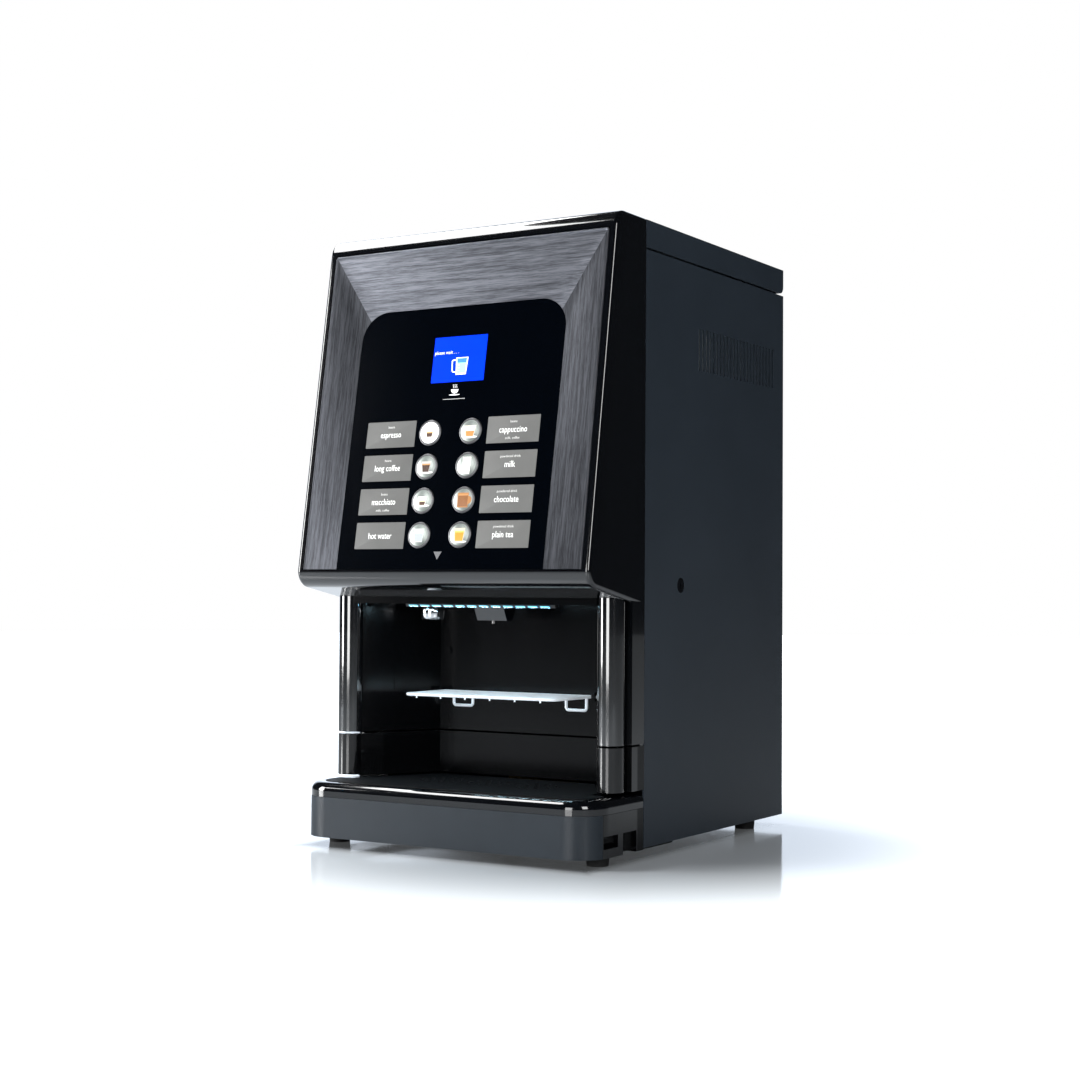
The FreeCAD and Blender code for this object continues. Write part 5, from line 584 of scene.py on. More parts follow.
class Form:
    """Mesh that is being built, with each face's finish and print colour."""

    def __init__(self) -> None:
        """Start empty."""
        self.mesh = bmesh.new()
        self.ink = self.mesh.loops.layers.float_color.new("ink")

    def loop(self, points: Sequence[Sequence[float]]) -> list[bmesh.types.BMVert]:
        """Add a row of points."""
        return [self.mesh.verts.new(point) for point in points]

    def face(self, corners: Sequence[bmesh.types.BMVert], slot: int = 0,
             colour: Colour | None = None) -> None:
        """Add a face, unless it is there.

        Args:
            corners: Its corners, in order.
            slot: Index of its finish.
            colour: Its print colour.
        """
        if self.mesh.faces.get(corners) is not None:
            return
        made = self.mesh.faces.new(corners)
        made.material_index = slot
        made.smooth = True
        if colour is not None:
            for corner in made.loops:
                corner[self.ink] = (*colour, 1.0)

    def skin(self, rows: Sequence[Sequence[Sequence[float]]], closed: bool = True, capped: bool = True,
             slot: int = 0) -> None:
        """Join rows of points into a surface.

        Args:
            rows: The rows, all with as many points.
            closed: Whether each row is a ring.
            capped: Whether the first and the last row are filled.
            slot: Index of the faces' finish.
        """
        rings = [self.loop(row) for row in rows]
        count = len(rings[0])
        for low, high in zip(rings, rings[1:]):
            for index in range(count if closed else count - 1):
                after = (index + 1) % count
                self.face((low[index], low[after], high[after], high[index]), slot)
        if capped and closed:
            self.face(tuple(reversed(rings[0])), slot)
            self.face(tuple(rings[-1]), slot)

    def lathe(self, profile: Sequence[Point], segments: int = 48, slot: int = 0) -> None:
        """Turn a profile of (radius, height) points round the Z axis, and fill both its ends."""
        turns = [2 * math.pi * index / segments for index in range(segments)]
        rows = [[(radius * math.cos(turn), radius * math.sin(turn), height) for turn in turns] for radius,
                height in profile]
        self.skin(rows, slot=slot)

    def slab(self, outline: Sequence[Point], low: float, high: float, ease: float = 0.0, slot: int = 0,
             colour: Colour | None = None) -> None:
        """Raise an outline into a plate whose upper edge is eased.

        Args:
            outline: Points across and up, anticlockwise.
            low: Height of the back.
            high: Height of the face.
            ease: How far the upper edge is drawn in.
            slot: Index of the faces' finish.
            colour: Print colour of the faces.
        """
        middle = Vector((sum(point[0] for point in outline),
                         sum(point[1] for point in outline))) / len(outline)
        levels = [(low, 0.0), (high - ease, 0.0)]
        if ease:
            levels += [(high - ease * 0.3, ease * 0.3), (high, ease)]
        else:
            levels[-1] = (high, 0.0)
        rings = []
        for height, inset in levels:
            row = []
            for across, up in outline:
                away = Vector((across, up)) - middle
                pull = away.normalized() * inset if away.length > inset else away
                row.append((across - pull.x, up - pull.y, height))
            rings.append(self.loop(row))
        count = len(outline)
        for below, above in zip(rings, rings[1:]):
            for index in range(count):
                after = (index + 1) % count
                self.face((below[index], below[after], above[after], above[index]), slot, colour)
        self.face(tuple(reversed(rings[0])), slot, colour)
        self.face(tuple(rings[-1]), slot, colour)

    def tube(self, points: Sequence[Sequence[float]], radius: float, sides: int = 12, slot: int = 0) -> None:
        """Sweep a round wire along points, with its ends filled."""
        path = [Vector(point) for point in points]
        rows = []
        side = None
        for index, here in enumerate(path):
            before = path[max(index - 1, 0)]
            after = path[min(index + 1, len(path) - 1)]
            ahead = (after - before).normalized()
            if side is None:
                side = ahead.orthogonal().normalized()
            side = (side - ahead * side.dot(ahead)).normalized()
            other = ahead.cross(side)
            turns = [2 * math.pi * step / sides for step in range(sides)]
            rows.append([here + (side * math.cos(turn) + other * math.sin(turn)) * radius for turn in turns])
        self.skin(rows, slot=slot)

    def finish(self, name: str, sharp: float = 35.0) -> bpy.types.Mesh:
        """Give the finished mesh, smooth except at edges sharper than an angle in degrees."""
        bmesh.ops.remove_doubles(self.mesh, verts=self.mesh.verts, dist=1e-7)
        bmesh.ops.recalc_face_normals(self.mesh, faces=self.mesh.faces)
        made = bpy.data.meshes.new(name)
        self.mesh.to_mesh(made)
        self.mesh.free()
        made.set_sharp_from_angle(angle=math.radians(sharp))
        return made


def arc(centre: Point, radius: float, start: float, end: float, steps: int = 8) -> list[Point]:
    """Give points along an arc.

    Args:
        centre: Its centre.
        radius: Its radius.
        start: First angle, in degrees.
        end: Last angle, in degrees.
        steps: How many spans it has.

    Returns:
        The points, both ends included.
    """
    turns = [math.radians(start + (end - start) * step / steps) for step in range(steps + 1)]
    return [(centre[0] + radius * math.cos(turn), centre[1] + radius * math.sin(turn)) for turn in turns]


def rounded(low: Point, high: Point, radius: float, steps: int = 6) -> list[Point]:
    """Give the outline of a rectangle with rounded corners, anticlockwise."""
    left, foot, right, head = low[0] + radius, low[1] + radius, high[0] - radius, high[1] - radius
    return (arc((right, foot), radius, -90, 0, steps) + arc((right, head), radius, 0, 90, steps)
            + arc((left, head), radius, 90, 180, steps) + arc((left, foot), radius, 180, 270, steps))


def bent(points: Sequence[Sequence[float]], radius: float, steps: int = 6) -> list[Vector]:
    """Round the corners of a wire's path.

    Args:
        points: Its corners.
        radius: Radius of the bends.
        steps: How many spans each bend has.

    Returns:
        The points of the rounded path.
    """
    path = [Vector(point) for point in points]
    made = [path[0]]
    for before, here, after in zip(path, path[1:], path[2:]):
        back, ahead = (before - here).normalized(), (after - here).normalized()
        half = back.angle(ahead) / 2
        reach = radius / math.tan(half)
        centre = here + (back + ahead).normalized() * (radius / math.sin(half))
        start, end = here + back * reach - centre, here + ahead * reach - centre
        whole, axis = start.angle(end), start.cross(end).normalized()
        for step in range(steps + 1):
            made.append(centre + Matrix.Rotation(whole * step / steps, 3, axis) @ start)
    made.append(path[-1])
    return made


class Workshop:
    """Places finished pieces on the frame's bodies and reports them."""

    def __init__(self) -> None:
        """Start with no shared effects built."""
        self.effects = Effects()

    def dress_nodes(self) -> None:
        """Give every carried-over node its finish."""
        for finish, names in NODE_FINISHES.items():
            for name in names:
                mesh = frame["nodes"][name].data
                mesh.materials.clear()
                mesh.materials.append(finish.material(self.effects))
                LOG.info("node %s takes %s", name, finish.name)

    def place(self, name: str, form: Form, body: str, slot: str, finishes: Sequence[Finish],
              at: Matrix | None = None, replaces: Sequence[str] = (),
              sharp: float = 35.0) -> bpy.types.Object:
        """Make a piece of a form and let it ride.

        Args:
            name: The piece's name.
            form: Its mesh in the making.
            body: The body it rides on.
            slot: The record's material slot; not used.
            finishes: Its finishes, by face index.
            at: Where its own axes lie in the frame.
            replaces: Nodes that it stands for.
            sharp: Angle above which edges stay sharp, in degrees.

        Returns:
            The piece.
        """
        mesh = form.finish(name, sharp)
        for finish in finishes:
            mesh.materials.append(finish.material(self.effects))
        made = bpy.data.objects.new(name, mesh)
        bpy.context.scene.collection.objects.link(made)
        if at is not None:
            made.matrix_world = at
        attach(made, body)
        if replaces:
            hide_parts(*replaces)
        LOG.info("piece %s on %s, %d faces", name, body, len(mesh.polygons))
        return made


def lettering(text: str, size: float, finish: Form, centre: Point, height: float, colour: Colour,
              width: float = 0.0, narrow: float = 1.0) -> None:
    """Write a line of plain letters into a form, in the plane of its own X and Y.

    Args:
        text: The line.
        size: Height of the letters.
        finish: The form that takes them.
        centre: Middle of the line.
        height: Level of the letters.
        colour: Their print colour.
        width: Widest that the line may be, or 0.
        narrow: Width of the letters as a share of their plain width.
    """
    curve = bpy.data.curves.new("line", "FONT")
    curve.body, curve.size, curve.align_x, curve.align_y = text, size, "CENTER", "CENTER"
    curve.resolution_u = 2
    holder = bpy.data.objects.new("line", curve)
    flat = bpy.data.meshes.new_from_object(holder)
    spread = max((abs(vertex.co.x) for vertex in flat.vertices), default=1.0) * 2
    shrink = min(narrow, width / spread) if width else narrow
    corners = [finish.mesh.verts.new((centre[0] + vertex.co.x * shrink, centre[1] + vertex.co.y,
                                      height)) for vertex in flat.vertices]
    for polygon in flat.polygons:
        finish.face([corners[index] for index in polygon.vertices], 0, colour)
    bpy.data.objects.remove(holder)
    bpy.data.curves.remove(curve)
    bpy.data.meshes.remove(flat)


def front_plane(node: str, out: Vector) -> Matrix:
    """Find the front face of a node that leans back, as axes with Z out of it.

    Args:
        node: The CAD node.
        out: Direction out of its front.

    Returns:
        Axes at the middle of the node's front: X across the machine, Y up the slope, Z out.
    """
    across = Vector((1.0, 0.0, 0.0))
    up = out.cross(across).normalized()
    places = [vertex.co for vertex in frame["nodes"][node].data.vertices]
    heights = [place.dot(out) for place in places]
    levels = [place.dot(up) for place in places]
    sides = [place.x for place in places]
    centre = across * ((min(sides) + max(sides)) / 2) + up * ((min(levels) + max(levels)) / 2)
    middle = centre + out * max(heights)
    axes = Matrix((across, up, out)).transposed().to_4x4()
    axes.translation = middle
    return axes


# ------------------------------------------------------------------ door


class Drink(Enum):
    """Pictures on the buttons."""

    ESPRESSO = "espresso"
    LONG = "long_coffee"
    MACCHIATO = "macchiato"
    WATER = "hot_water"
    CAPPUCCINO = "cappuccino"
    MILK = "milk"
    CHOCOLATE = "chocolate"
    TEA = "tea"


@dataclass(frozen=True)
class Cup:
    """Printed picture of a filled cup: widths and heights in metres, fill as a share of its height."""

    head: float
    foot: float
    height: float
    glass: Colour
    liquid: Colour
    foam: Colour
    fill: float = 0.75
    froth: float = 0.18
    mug: bool = False
    saucer: bool = True

    def draw(self, form: Form, level: float) -> None:
        """Print the cup into a form.

        Args:
            form: The form that takes it.
            level: Height of the print.
        """
        base = -self.height / 2
        if self.saucer:
            form.slab([(x, y + base) for x, y in ring(0.0058, 0.0009, 24)], level, level + 0.00002,
                      colour=(0.62, 0.62, 0.60))
        if self.mug:
            handle = ring(self.head * 0.27, self.height * 0.27, 20)
            form.slab([(x + self.head / 2, y + base + self.height * 0.5) for x, y in handle], level,
                      level + 0.00002, colour=self.glass)
        self._band(form, level + 0.00003, base, 0.0, 1.0, self.glass, 0.0)
        self._band(form, level + 0.00006, base, 0.06, self.fill, self.liquid, 0.0004)
        self._band(form, level + 0.00009, base, self.fill - self.froth, self.fill, self.foam, 0.0004)

    def _band(self, form: Form, level: float, base: float, low: float, high: float, colour: Colour,
              inset: float) -> None:
        """Print the part of the cup between two shares of its height."""
        corners = []
        for share, side in ((low, -1), (low, 1), (high, 1), (high, -1)):
            half = (self.foot + (self.head - self.foot) * share) / 2 - inset
            corners.append((side * half, base + self.height * share))
        form.slab(corners, level, level + 0.00002, colour=colour)


def ring(across: float, up: float, steps: int) -> list[Point]:
    """Give an ellipse from its two radii."""
    turns = [2 * math.pi * step / steps for step in range(steps)]
    return [(across * math.cos(turn), up * math.sin(turn)) for turn in turns]


CUPS: dict[Drink, Cup] = {
    Drink.ESPRESSO: Cup(0.0066, 0.0044, 0.0056, (0.66, 0.62, 0.55), (0.045, 0.016, 0.006), (0.55, 0.30, 0.11),
                        0.62, 0.14),
    Drink.LONG: Cup(0.0076, 0.0050, 0.0072, (0.42, 0.40, 0.38), (0.040, 0.015, 0.006), (0.42, 0.22, 0.08),
                    0.78, 0.12),
    Drink.MACCHIATO: Cup(0.0068, 0.0044, 0.0060, (0.70, 0.67, 0.60), (0.06, 0.024, 0.010), (0.80, 0.66, 0.44),
                         0.74, 0.3),
    Drink.WATER: Cup(0.0078, 0.0060, 0.0086, (0.50, 0.52, 0.52), (0.36, 0.39, 0.40), (0.62, 0.64, 0.64), 0.7,
                     0.08, saucer=False),
    Drink.CAPPUCCINO: Cup(0.0090, 0.0056, 0.0074, (0.60, 0.56, 0.48), (0.48, 0.19, 0.045), (0.84, 0.74, 0.58),
                          0.86, 0.34),
    Drink.MILK: Cup(0.0064, 0.0054, 0.0112, (0.60, 0.61, 0.58), (0.86, 0.86, 0.80), (0.93, 0.93, 0.89), 0.9,
                    0.1, saucer=False),
    Drink.CHOCOLATE: Cup(0.0082, 0.0078, 0.0094, (0.34, 0.15, 0.045), (0.21, 0.080, 0.022),
                         (0.42, 0.20, 0.07), 0.92, 0.12, mug=True, saucer=False),
    Drink.TEA: Cup(0.0080, 0.0062, 0.0086, (0.62, 0.50, 0.36), (0.76, 0.24, 0.018), (0.90, 0.46, 0.11), 0.8,
                   0.12),
}


@dataclass(frozen=True)
class Choice:
    """One drink's place on the panel, with its generic wording."""

    side: str
    row: int
    drink: Drink
    words: str
    above: str = ""
    below: str = ""

    @property
    def button(self) -> str:
        """Name of its button node and body."""
        return f"button_{self.side}_{self.row}"


CHOICES = (
    Choice("left", 1, Drink.ESPRESSO, "espresso", "beans"),
    Choice("left", 2, Drink.LONG, "long coffee", "beans"),
    Choice("left", 3, Drink.MACCHIATO, "macchiato", "beans", "milk, coffee"),
    Choice("left", 4, Drink.WATER, "hot water"),
    Choice("right", 1, Drink.CAPPUCCINO, "cappuccino", "beans", "milk, coffee"),
    Choice("right", 2, Drink.MILK, "milk", "powdered drink"),
    Choice("right", 3, Drink.CHOCOLATE, "chocolate", "powdered drink"),
    Choice("right", 4, Drink.TEA, "plain tea", "powdered drink"),
)


@dataclass
class ControlPanel:
    """Interface panel: labels, lit buttons, display and the printed marks."""

    label_width: float = 0.0574
    label_height: float = 0.0258
    label_left: float = -0.0690
    label_right: float = 0.0702
    label_thickness: float = 0.0007
    cap_radius: float = 0.0126
    cap_depth: float = 0.0037
    picture_scale: float = 1.5
    screen_width: float = 0.0599
    screen_height: float = 0.0449
    screen_drop: float = 0.0010
    emblem_level: float = 0.0425
    mark_level: float = -0.1190

    def __post_init__(self) -> None:
        """Find the panel's plane from the way its buttons press."""
        press = next(joint for joint in frame["joints"] if joint["name"] == "press_left_1")
        self.out = -Vector(press["axis"]).normalized()
        self.plane = front_plane("interface_panel", self.out)

    def build(self, shop: Workshop) -> None:
        """Make every piece of the panel."""
        self._labels(shop)
        for choice in CHOICES:
            self._button(shop, choice)
        self._screen(shop)
        self._marks(shop)

    def _row(self, choice: Choice) -> float:
        """Give the height of a choice's row on the panel's plane."""
        centre = front_plane(choice.button, self.out).translation
        return (self.plane.inverted() @ centre).y

    def _labels(self, shop: Workshop) -> None:
        """Make the label plates and the lines of print on them."""
        plates, print_ = Form(), Form()
        white: Colour = (0.90, 0.90, 0.88)
        for choice in CHOICES:
            middle = self.label_left if choice.side == "left" else self.label_right
            level = self._row(choice)
            half, rise = self.label_width / 2, self.label_height / 2
            plates.slab(rounded((middle - half, level - rise), (middle + half, level + rise), 0.0007, 4),
                        -self.label_thickness, -0.00004, 0.0002)
            lettering(choice.words, 0.0086, print_, (middle, level - 0.0004), 0.00001, white, 0.041, 0.80)
            if choice.above:
                lettering(choice.above, 0.0034, print_, (middle, level + 0.0073), 0.00001, (0.6, 0.6, 0.58),
                          0.034)
            if choice.below:
                lettering(choice.below, 0.0034, print_, (middle, level - 0.0085), 0.00001, (0.6, 0.6, 0.58),
                          0.024)
        shop.place("label_faces", plates, "door", "label_print", [LABEL], self.plane, ["label_plates"])
        shop.place("label_lines", print_, "door", "label_print", [INK], self.plane)

    def _button(self, shop: Workshop, choice: Choice) -> None:
        """Make a button's spun cap and its picture."""
        lit = choice.drink is Drink.ESPRESSO
        axes = front_plane(choice.button, self.out)
        cap = Form()
        cap.lathe([(self.cap_radius, -self.cap_depth), (self.cap_radius, -0.0010),
                   (self.cap_radius * 0.985, -0.0004), (self.cap_radius * 0.955, -0.00012),
                   (self.cap_radius * 0.935, -0.0001)], 64, 0)
        radii = [self.cap_radius * share for share in (0.935, 0.92, 0.90, 0.6, 0.3, 0.01)]
        heights = (-0.0001, -0.00028, -0.00012, -0.00004, 0.0, 0.0)
        cap.lathe(list(zip(radii, heights)), 64, 1)
        cap.lathe([(0.0140, -0.0050), (0.0140, -self.cap_depth), (self.cap_radius, -self.cap_depth)], 48, 0)
        cap.lathe([(0.0040, -0.0082), (0.0040, -0.0050)], 24, 0)
        shop.place(f"{choice.button}_cap", cap, choice.button, "button_metal",
                   [BUTTON_RIM, BUTTON_LIT if lit else BUTTON], axes, [choice.button], 50.0)
        picture = Form()
        CUPS[choice.drink].draw(picture, 0.00002)
        shop.place(f"{choice.button}_picture", picture, choice.button, "button_metal", [INK],
                   axes @ Matrix.Translation((0.0, -0.0004, 0.0)) @ Matrix.Scale(self.picture_scale, 4))

    def _screen(self, shop: Workshop) -> None:
        """Make the display: its case, its lit face and the jug that it shows."""
        axes = front_plane("display_module", self.out)
        case, shown = Form(), Form()
        half, rise = self.screen_width / 2, self.screen_height / 2
        low, high = (-half, -rise - self.screen_drop), (half, rise - self.screen_drop)
        case.slab(rounded((low[0] - 0.0055, low[1] - 0.0055), (high[0] + 0.0055, high[1] + 0.0075), 0.002),
                  -0.0086, -0.0028, 0.0, 0)
        case.slab(rounded(low, high, 0.0004, 3), -0.0028, -0.00002, 0.0, 1)
        white, pale = (0.93, 0.96, 1.0), (0.30, 0.72, 1.0)
        jug_x, jug_y = 0.0035, low[1] + 0.0150
        outline = [(-0.0058, -0.0082), (0.0058, -0.0082), (0.0070, 0.0088), (-0.0070, 0.0088)]
        shown.slab([(jug_x + x, jug_y + y) for x, y in outline], 0.0, 0.00002, colour=white)
        shown.slab([(jug_x + x * 0.80, jug_y + y * 0.86 + 0.0004) for x, y in outline], 0.00002, 0.00004,
                   colour=(0.02, 0.20, 0.95))
        level = 0.0035
        liquid = [(-0.0045, -0.0067), (0.0045, -0.0067), (0.0052, level), (-0.0052, level)]
        shown.slab([(jug_x + x, jug_y + y) for x, y in liquid], 0.00004, 0.00006, colour=pale)
        for mark in range(3):
            tick = jug_y - 0.0045 + mark * 0.0028
            shown.slab([(jug_x - 0.0040, tick), (jug_x - 0.0020, tick), (jug_x - 0.0020, tick + 0.0005),
                        (jug_x - 0.0040, tick + 0.0005)],
                       0.00006, 0.00008, colour=white)
        shown.tube(bent([(jug_x - 0.0064, jug_y + 0.0064, 0.0), (jug_x - 0.0112, jug_y + 0.0064, 0.0),
                         (jug_x - 0.0100, jug_y - 0.0050, 0.0), (jug_x - 0.0058, jug_y - 0.0056, 0.0)],
                         0.0016), 0.0006, 8)
        for corner in (face for face in shown.mesh.faces if face.loops[0][shown.ink][3] < 0.5):
            for loop in corner.loops:
                loop[shown.ink] = (*white, 1.0)
        lettering("please wait . . .", 0.0048, shown, (low[0] + 0.0150, high[1] - 0.0155), 0.00002, white,
                  0.027)
        shop.place("display_case", case, "door", "screen", [MOULDED, SCREEN], axes, ["display_module"])
        shop.place("display_signs", shown, "door", "screen", [INK], axes)

    def _marks(self, shop: Workshop) -> None:
        """Print a plain cup emblem with a thin line under it, and a pointer at the foot."""
        marks = Form()
        level = self.emblem_level
        white: Colour = (0.80, 0.80, 0.80)
        bowl = arc((-0.0, level + 0.0030), 0.0042, 180, 360, 12)
        marks.slab(bowl, 0.00001, 0.00003, colour=white)
        marks.slab([(x, level - 0.0024 + y) for x, y in ring(0.0062, 0.0006, 20)], 0.00001, 0.00003,
                   colour=white)
        for offset in (-0.0018, 0.0, 0.0018):
            wave = [(offset + 0.0005 * math.sin(step * 1.3), level + 0.0042 + step * 0.0007,
                     0.0) for step in range(6)]
            marks.tube(wave, 0.00022, 6)
        marks.slab([(-0.0125, level - 0.0068), (0.0125, level - 0.0068), (0.0125, level - 0.0062),
                    (-0.0125, level - 0.0062)],
                   0.00001, 0.00003, colour=(0.35, 0.35, 0.35))
        point = self.mark_level
        marks.slab([(0.0, point), (0.0045, point + 0.0076), (-0.0045, point + 0.0076)], 0.00001, 0.00003,
                   colour=(0.11, 0.11, 0.115))
        for face in marks.mesh.faces:
            for loop in face.loops:
                if loop[marks.ink][3] < 0.5:
                    loop[marks.ink] = (*white, 1.0)
        shop.place("panel_marks", marks, "door", "gloss_panel", [INK], self.plane)


@dataclass
class BrushedBezel:
    """Brushed frame whose facets fall from the door's edge to the sunk panel."""

    lean: float = 8.75
    corner: float = 0.003
    panel_corner: float = 0.029
    depth: float = 0.009
    panel_depth: float = 0.0006
    panel_lean: float = 1.0
    steps: int = 14
    mitre: int = 20

    def build(self, shop: Workshop) -> None:
        """Make the bezel from rows that follow its outline inwards."""
        turn = math.radians(self.lean)
        axes = front_plane("fascia_bezel", Vector((0.0, -math.cos(turn), math.sin(turn))))
        low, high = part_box("fascia_bezel")
        panel_low, panel_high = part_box("interface_panel")
        half = (high.x - low.x) / 2
        rise = (high.z - low.z - self.depth * math.sin(turn)) / math.cos(turn)
        inner_half = (panel_high.x - panel_low.x) / 2 + 0.0002
        inner_rise = 0.2562
        self.foot = -rise / 2
        outer = self._arch(half, rise, self.corner)
        inner = self._arch(inner_half, inner_rise, self.panel_corner)
        form = Form()
        rows = [self._row(inner, outer, 0.0, -self.depth), self._row(outer, outer, 0.0, -self.depth)]
        centre = [(point[0] * 0.985, self.foot + (point[1] - self.foot) * 0.992) for point in outer]
        for share, drop in ((0.0, 0.0007), (0.10, 0.0002), (0.26, 0.0), (0.50, 0.0), (0.66, 0.0003),
                            (0.80, 0.0007)):
            rows.append(self._row(outer, centre, share, -drop))
        for step in range(self.steps + 1):
            share = step / self.steps
            rows.append(self._facet(centre, inner, share))
        rows.append([(x, y, z - 0.0032) for x, y, z in rows[-1]])
        rows.append(rows[0])
        form.skin(rows, closed=False, capped=False)
        spans = len(outer) - 1
        # Faces near both ends of the outline are the side facets. They take slot 1, the darker copy of the
        # brushed finish, as painted shade.
        for place, face in enumerate(form.mesh.faces):
            if not self.mitre < place % spans < spans - self.mitre:
                face.material_index = 1
        for end in (0, -1):
            section = [row[end] for row in rows[:-1]]
            corners = form.loop(section)
            form.face(corners if end else list(reversed(corners)))
        shop.place("bezel_facets", form, "door", "brushed_front", [BEZEL, BEZEL_SHADED_SIDE], axes, ["fascia_bezel"],
                   24.0)

    def _arch(self, half: float, rise: float, radius: float) -> list[Point]:
        """Give points up one side of an arch, over its top and down the other side."""
        foot, head = self.foot, self.foot + rise
        left = [(-half, foot + (rise - radius) * step / 16) for step in range(16)]
        top = [(-half + radius + (2 * half - 2 * radius) * step / 20, head) for step in range(1, 20)]
        right = [(half, head - radius - (rise - radius) * step / 16) for step in range(1, 17)]
        return (left + arc((-half + radius, head - radius), radius, 180, 90, 10) + top
                + arc((half - radius, head - radius), radius, 90, 0, 10) + right)

    def _row(self, first: list[Point], second: list[Point], share: float,
             height: float) -> list[tuple[float, float, float]]:
        """Give a row between two outlines at one height."""
        return [(a[0] + (b[0] - a[0]) * share, a[1] + (b[1] - a[1]) * share, height) for a,
                b in zip(first, second)]

    def _facet(self, outer: list[Point], inner: list[Point],
               share: float) -> list[tuple[float, float, float]]:
        """Give a row on the facets, which are nearly flat and curl a little at both edges."""
        curl = share - 0.035 * math.sin(2 * math.pi * share)
        row = []
        for a, b in zip(outer, inner):
            up = b[1] - self.foot
            deep = self.panel_depth + up * math.tan(math.radians(self.panel_lean))
            row.append((a[0] + (b[0] - a[0]) * share, a[1] + (b[1] - a[1]) * share,
                        -0.0007 - (deep - 0.0007) * curl))
        return row


@dataclass
class DispensingNiche:
    """Niche fittings: light strip, ring nozzle and the wire cup shelf."""

    lens_count: int = 12
    lens_pitch: float = 0.0138
    lens_length: float = 0.0092
    lens_height: float = 0.0014
    wire: float = 0.0015
    thin_wire: float = 0.0010
    bar_count: int = 23
    loop_drop: float = 0.014
    loop_inner: float = 0.055
    loop_outer: float = 0.078

    def build(self, shop: Workshop) -> None:
        """Make every fitting of the niche."""
        self._lights(shop)
        self._nozzle(shop)
        self._shelf(shop)

    def _lights(self, shop: Workshop) -> None:
        """Make the light strip: a dark rail with slanted lenses that are lit on their undersides."""
        low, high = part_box("led_strip")
        rail, lenses = Form(), Form()
        front = low.y + 0.0008
        rail_axes = Matrix.Translation((0.0, 0.0, 0.0))
        rail.skin([[(x, front + 0.0004, high.z), (x, high.y, high.z), (x, high.y, low.z + 0.0006),
                    (x, front + 0.0012, low.z)]
                   for x in (low.x, high.x)])
        first = -(self.lens_count - 1) / 2 * self.lens_pitch
        for index in range(self.lens_count):
            middle = first + index * self.lens_pitch
            left, right, skew = middle - self.lens_length / 2, middle + self.lens_length / 2, 0.0012
            foot_level, head_level = low.z + 0.0004, low.z + 0.0004 + self.lens_height
            front_row = [(left, low.y, foot_level), (right, low.y, foot_level),
                         (right - skew, low.y, head_level), (left - skew, low.y, head_level)]
            back_row = [(x, front + 0.0015, z) for x, y, z in front_row]
            lenses.skin([front_row, back_row])
            foot = lenses.loop([(left, low.y + 0.0004, low.z + 0.0002),
                                (right, low.y + 0.0004, low.z + 0.0002),
                                (right, high.y - 0.0008, low.z + 0.0002),
                                (left, high.y - 0.0008, low.z + 0.0002)])
            lenses.face(foot, 1)
        shop.place("light_rail", rail, "door", "black_plastic", [MOULDED], rail_axes, ["led_strip"])
        shop.place("light_lenses", lenses, "door", "led", [LENS, LENS_UNDER], rail_axes)

    def _nozzle(self, shop: Workshop) -> None:
        """Turn the ring nozzle and its collar."""
        low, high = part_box("water_nozzle")
        axes = Matrix.Translation(((low.x + high.x) / 2, (low.y + high.y) / 2, low.z))
        radius = (high.x - low.x) / 2
        rise = high.z - low.z
        form = Form()
        form.lathe([(0.0062, 0.0110), (0.0078, 0.0020), (0.0086, 0.0004), (0.0098, 0.0), (0.0110, 0.0008),
                    (radius * 0.97, 0.0030), (radius, 0.0062), (radius, 0.0105), (radius * 0.96, 0.0122),
                    (radius * 0.80, 0.0132), (0.0090, 0.0136), (0.0090, rise), (0.0066, rise),
                    (0.0062, 0.0110)], 64)
        shop.place("ring_nozzle", form, "door", "chrome_ring", [CHROME], axes, ["water_nozzle"], 50.0)

    def _shelf(self, shop: Workshop) -> None:
        """Bend the shelf's frame, its bars, its rest loops and the turned-down ends at its front."""
        low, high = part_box("cup_shelf")
        front, level = low.y + self.wire, high.z - self.wire
        pivot = next(joint for joint in frame["joints"] if joint["name"] == "cup_shelf_fold")["pos_m"][1]
        back = high.y - self.wire
        half = 0.0855
        form = Form()
        form.tube(bent([(-half, pivot, level), (-half, front, level), (half, front, level),
                        (half, pivot, level)], 0.006), self.wire)
        form.tube([(low.x, pivot, level), (high.x, pivot, level)], self.wire)
        for share in (0.25, 0.5, 0.75):
            along = front + (pivot - front) * share
            form.tube([(-half, along, level - 0.0004), (half, along, level - 0.0004)], self.thin_wire, 10)
        for index in range(self.bar_count):
            across = -half + (index + 1) * 2 * half / (self.bar_count + 1)
            drop = 0.0032 if index % 4 == 1 else 0.0012
            form.tube(bent([(across, front - 0.0009, level - drop), (across, front - 0.0009, level + 0.0007),
                            (across, pivot, level + 0.0007)],
                           0.0008, 3), self.thin_wire * 0.8, 8)
        for side in (-1, 1):
            near, far = side * self.loop_inner, side * self.loop_outer
            form.tube(bent([(near, pivot, level), (near, back, level), (near, back, level - self.loop_drop),
                            (far, back, level - self.loop_drop), (far, back, level), (far, pivot, level)],
                            0.0028), self.wire)
        shop.place("shelf_wires", form, "cup_shelf", "bright_wire", [WIRE], None, ["cup_shelf"], 60.0)


# ------------------------------------------------------------------ studio


@dataclass(frozen=True)
class Softbox:
    """Soft rectangular light: its place, what it faces, its width and height, and its power in watts."""

    name: str
    place: tuple[float, float, float]
    aim: tuple[float, float, float]
    width: float
    height: float
    power: float

    def hang(self) -> None:
        """Put the light into the scene."""
        lamp = bpy.data.lights.new(self.name, "AREA")
        lamp.shape = "RECTANGLE"
        lamp.size, lamp.size_y, lamp.energy = self.width, self.height, self.power
        made = bpy.data.objects.new(self.name, lamp)
        made.location = self.place
        made.rotation_euler = (Vector(self.aim) - Vector(self.place)).to_track_quat("-Z", "Y").to_euler()
        bpy.context.scene.collection.objects.link(made)


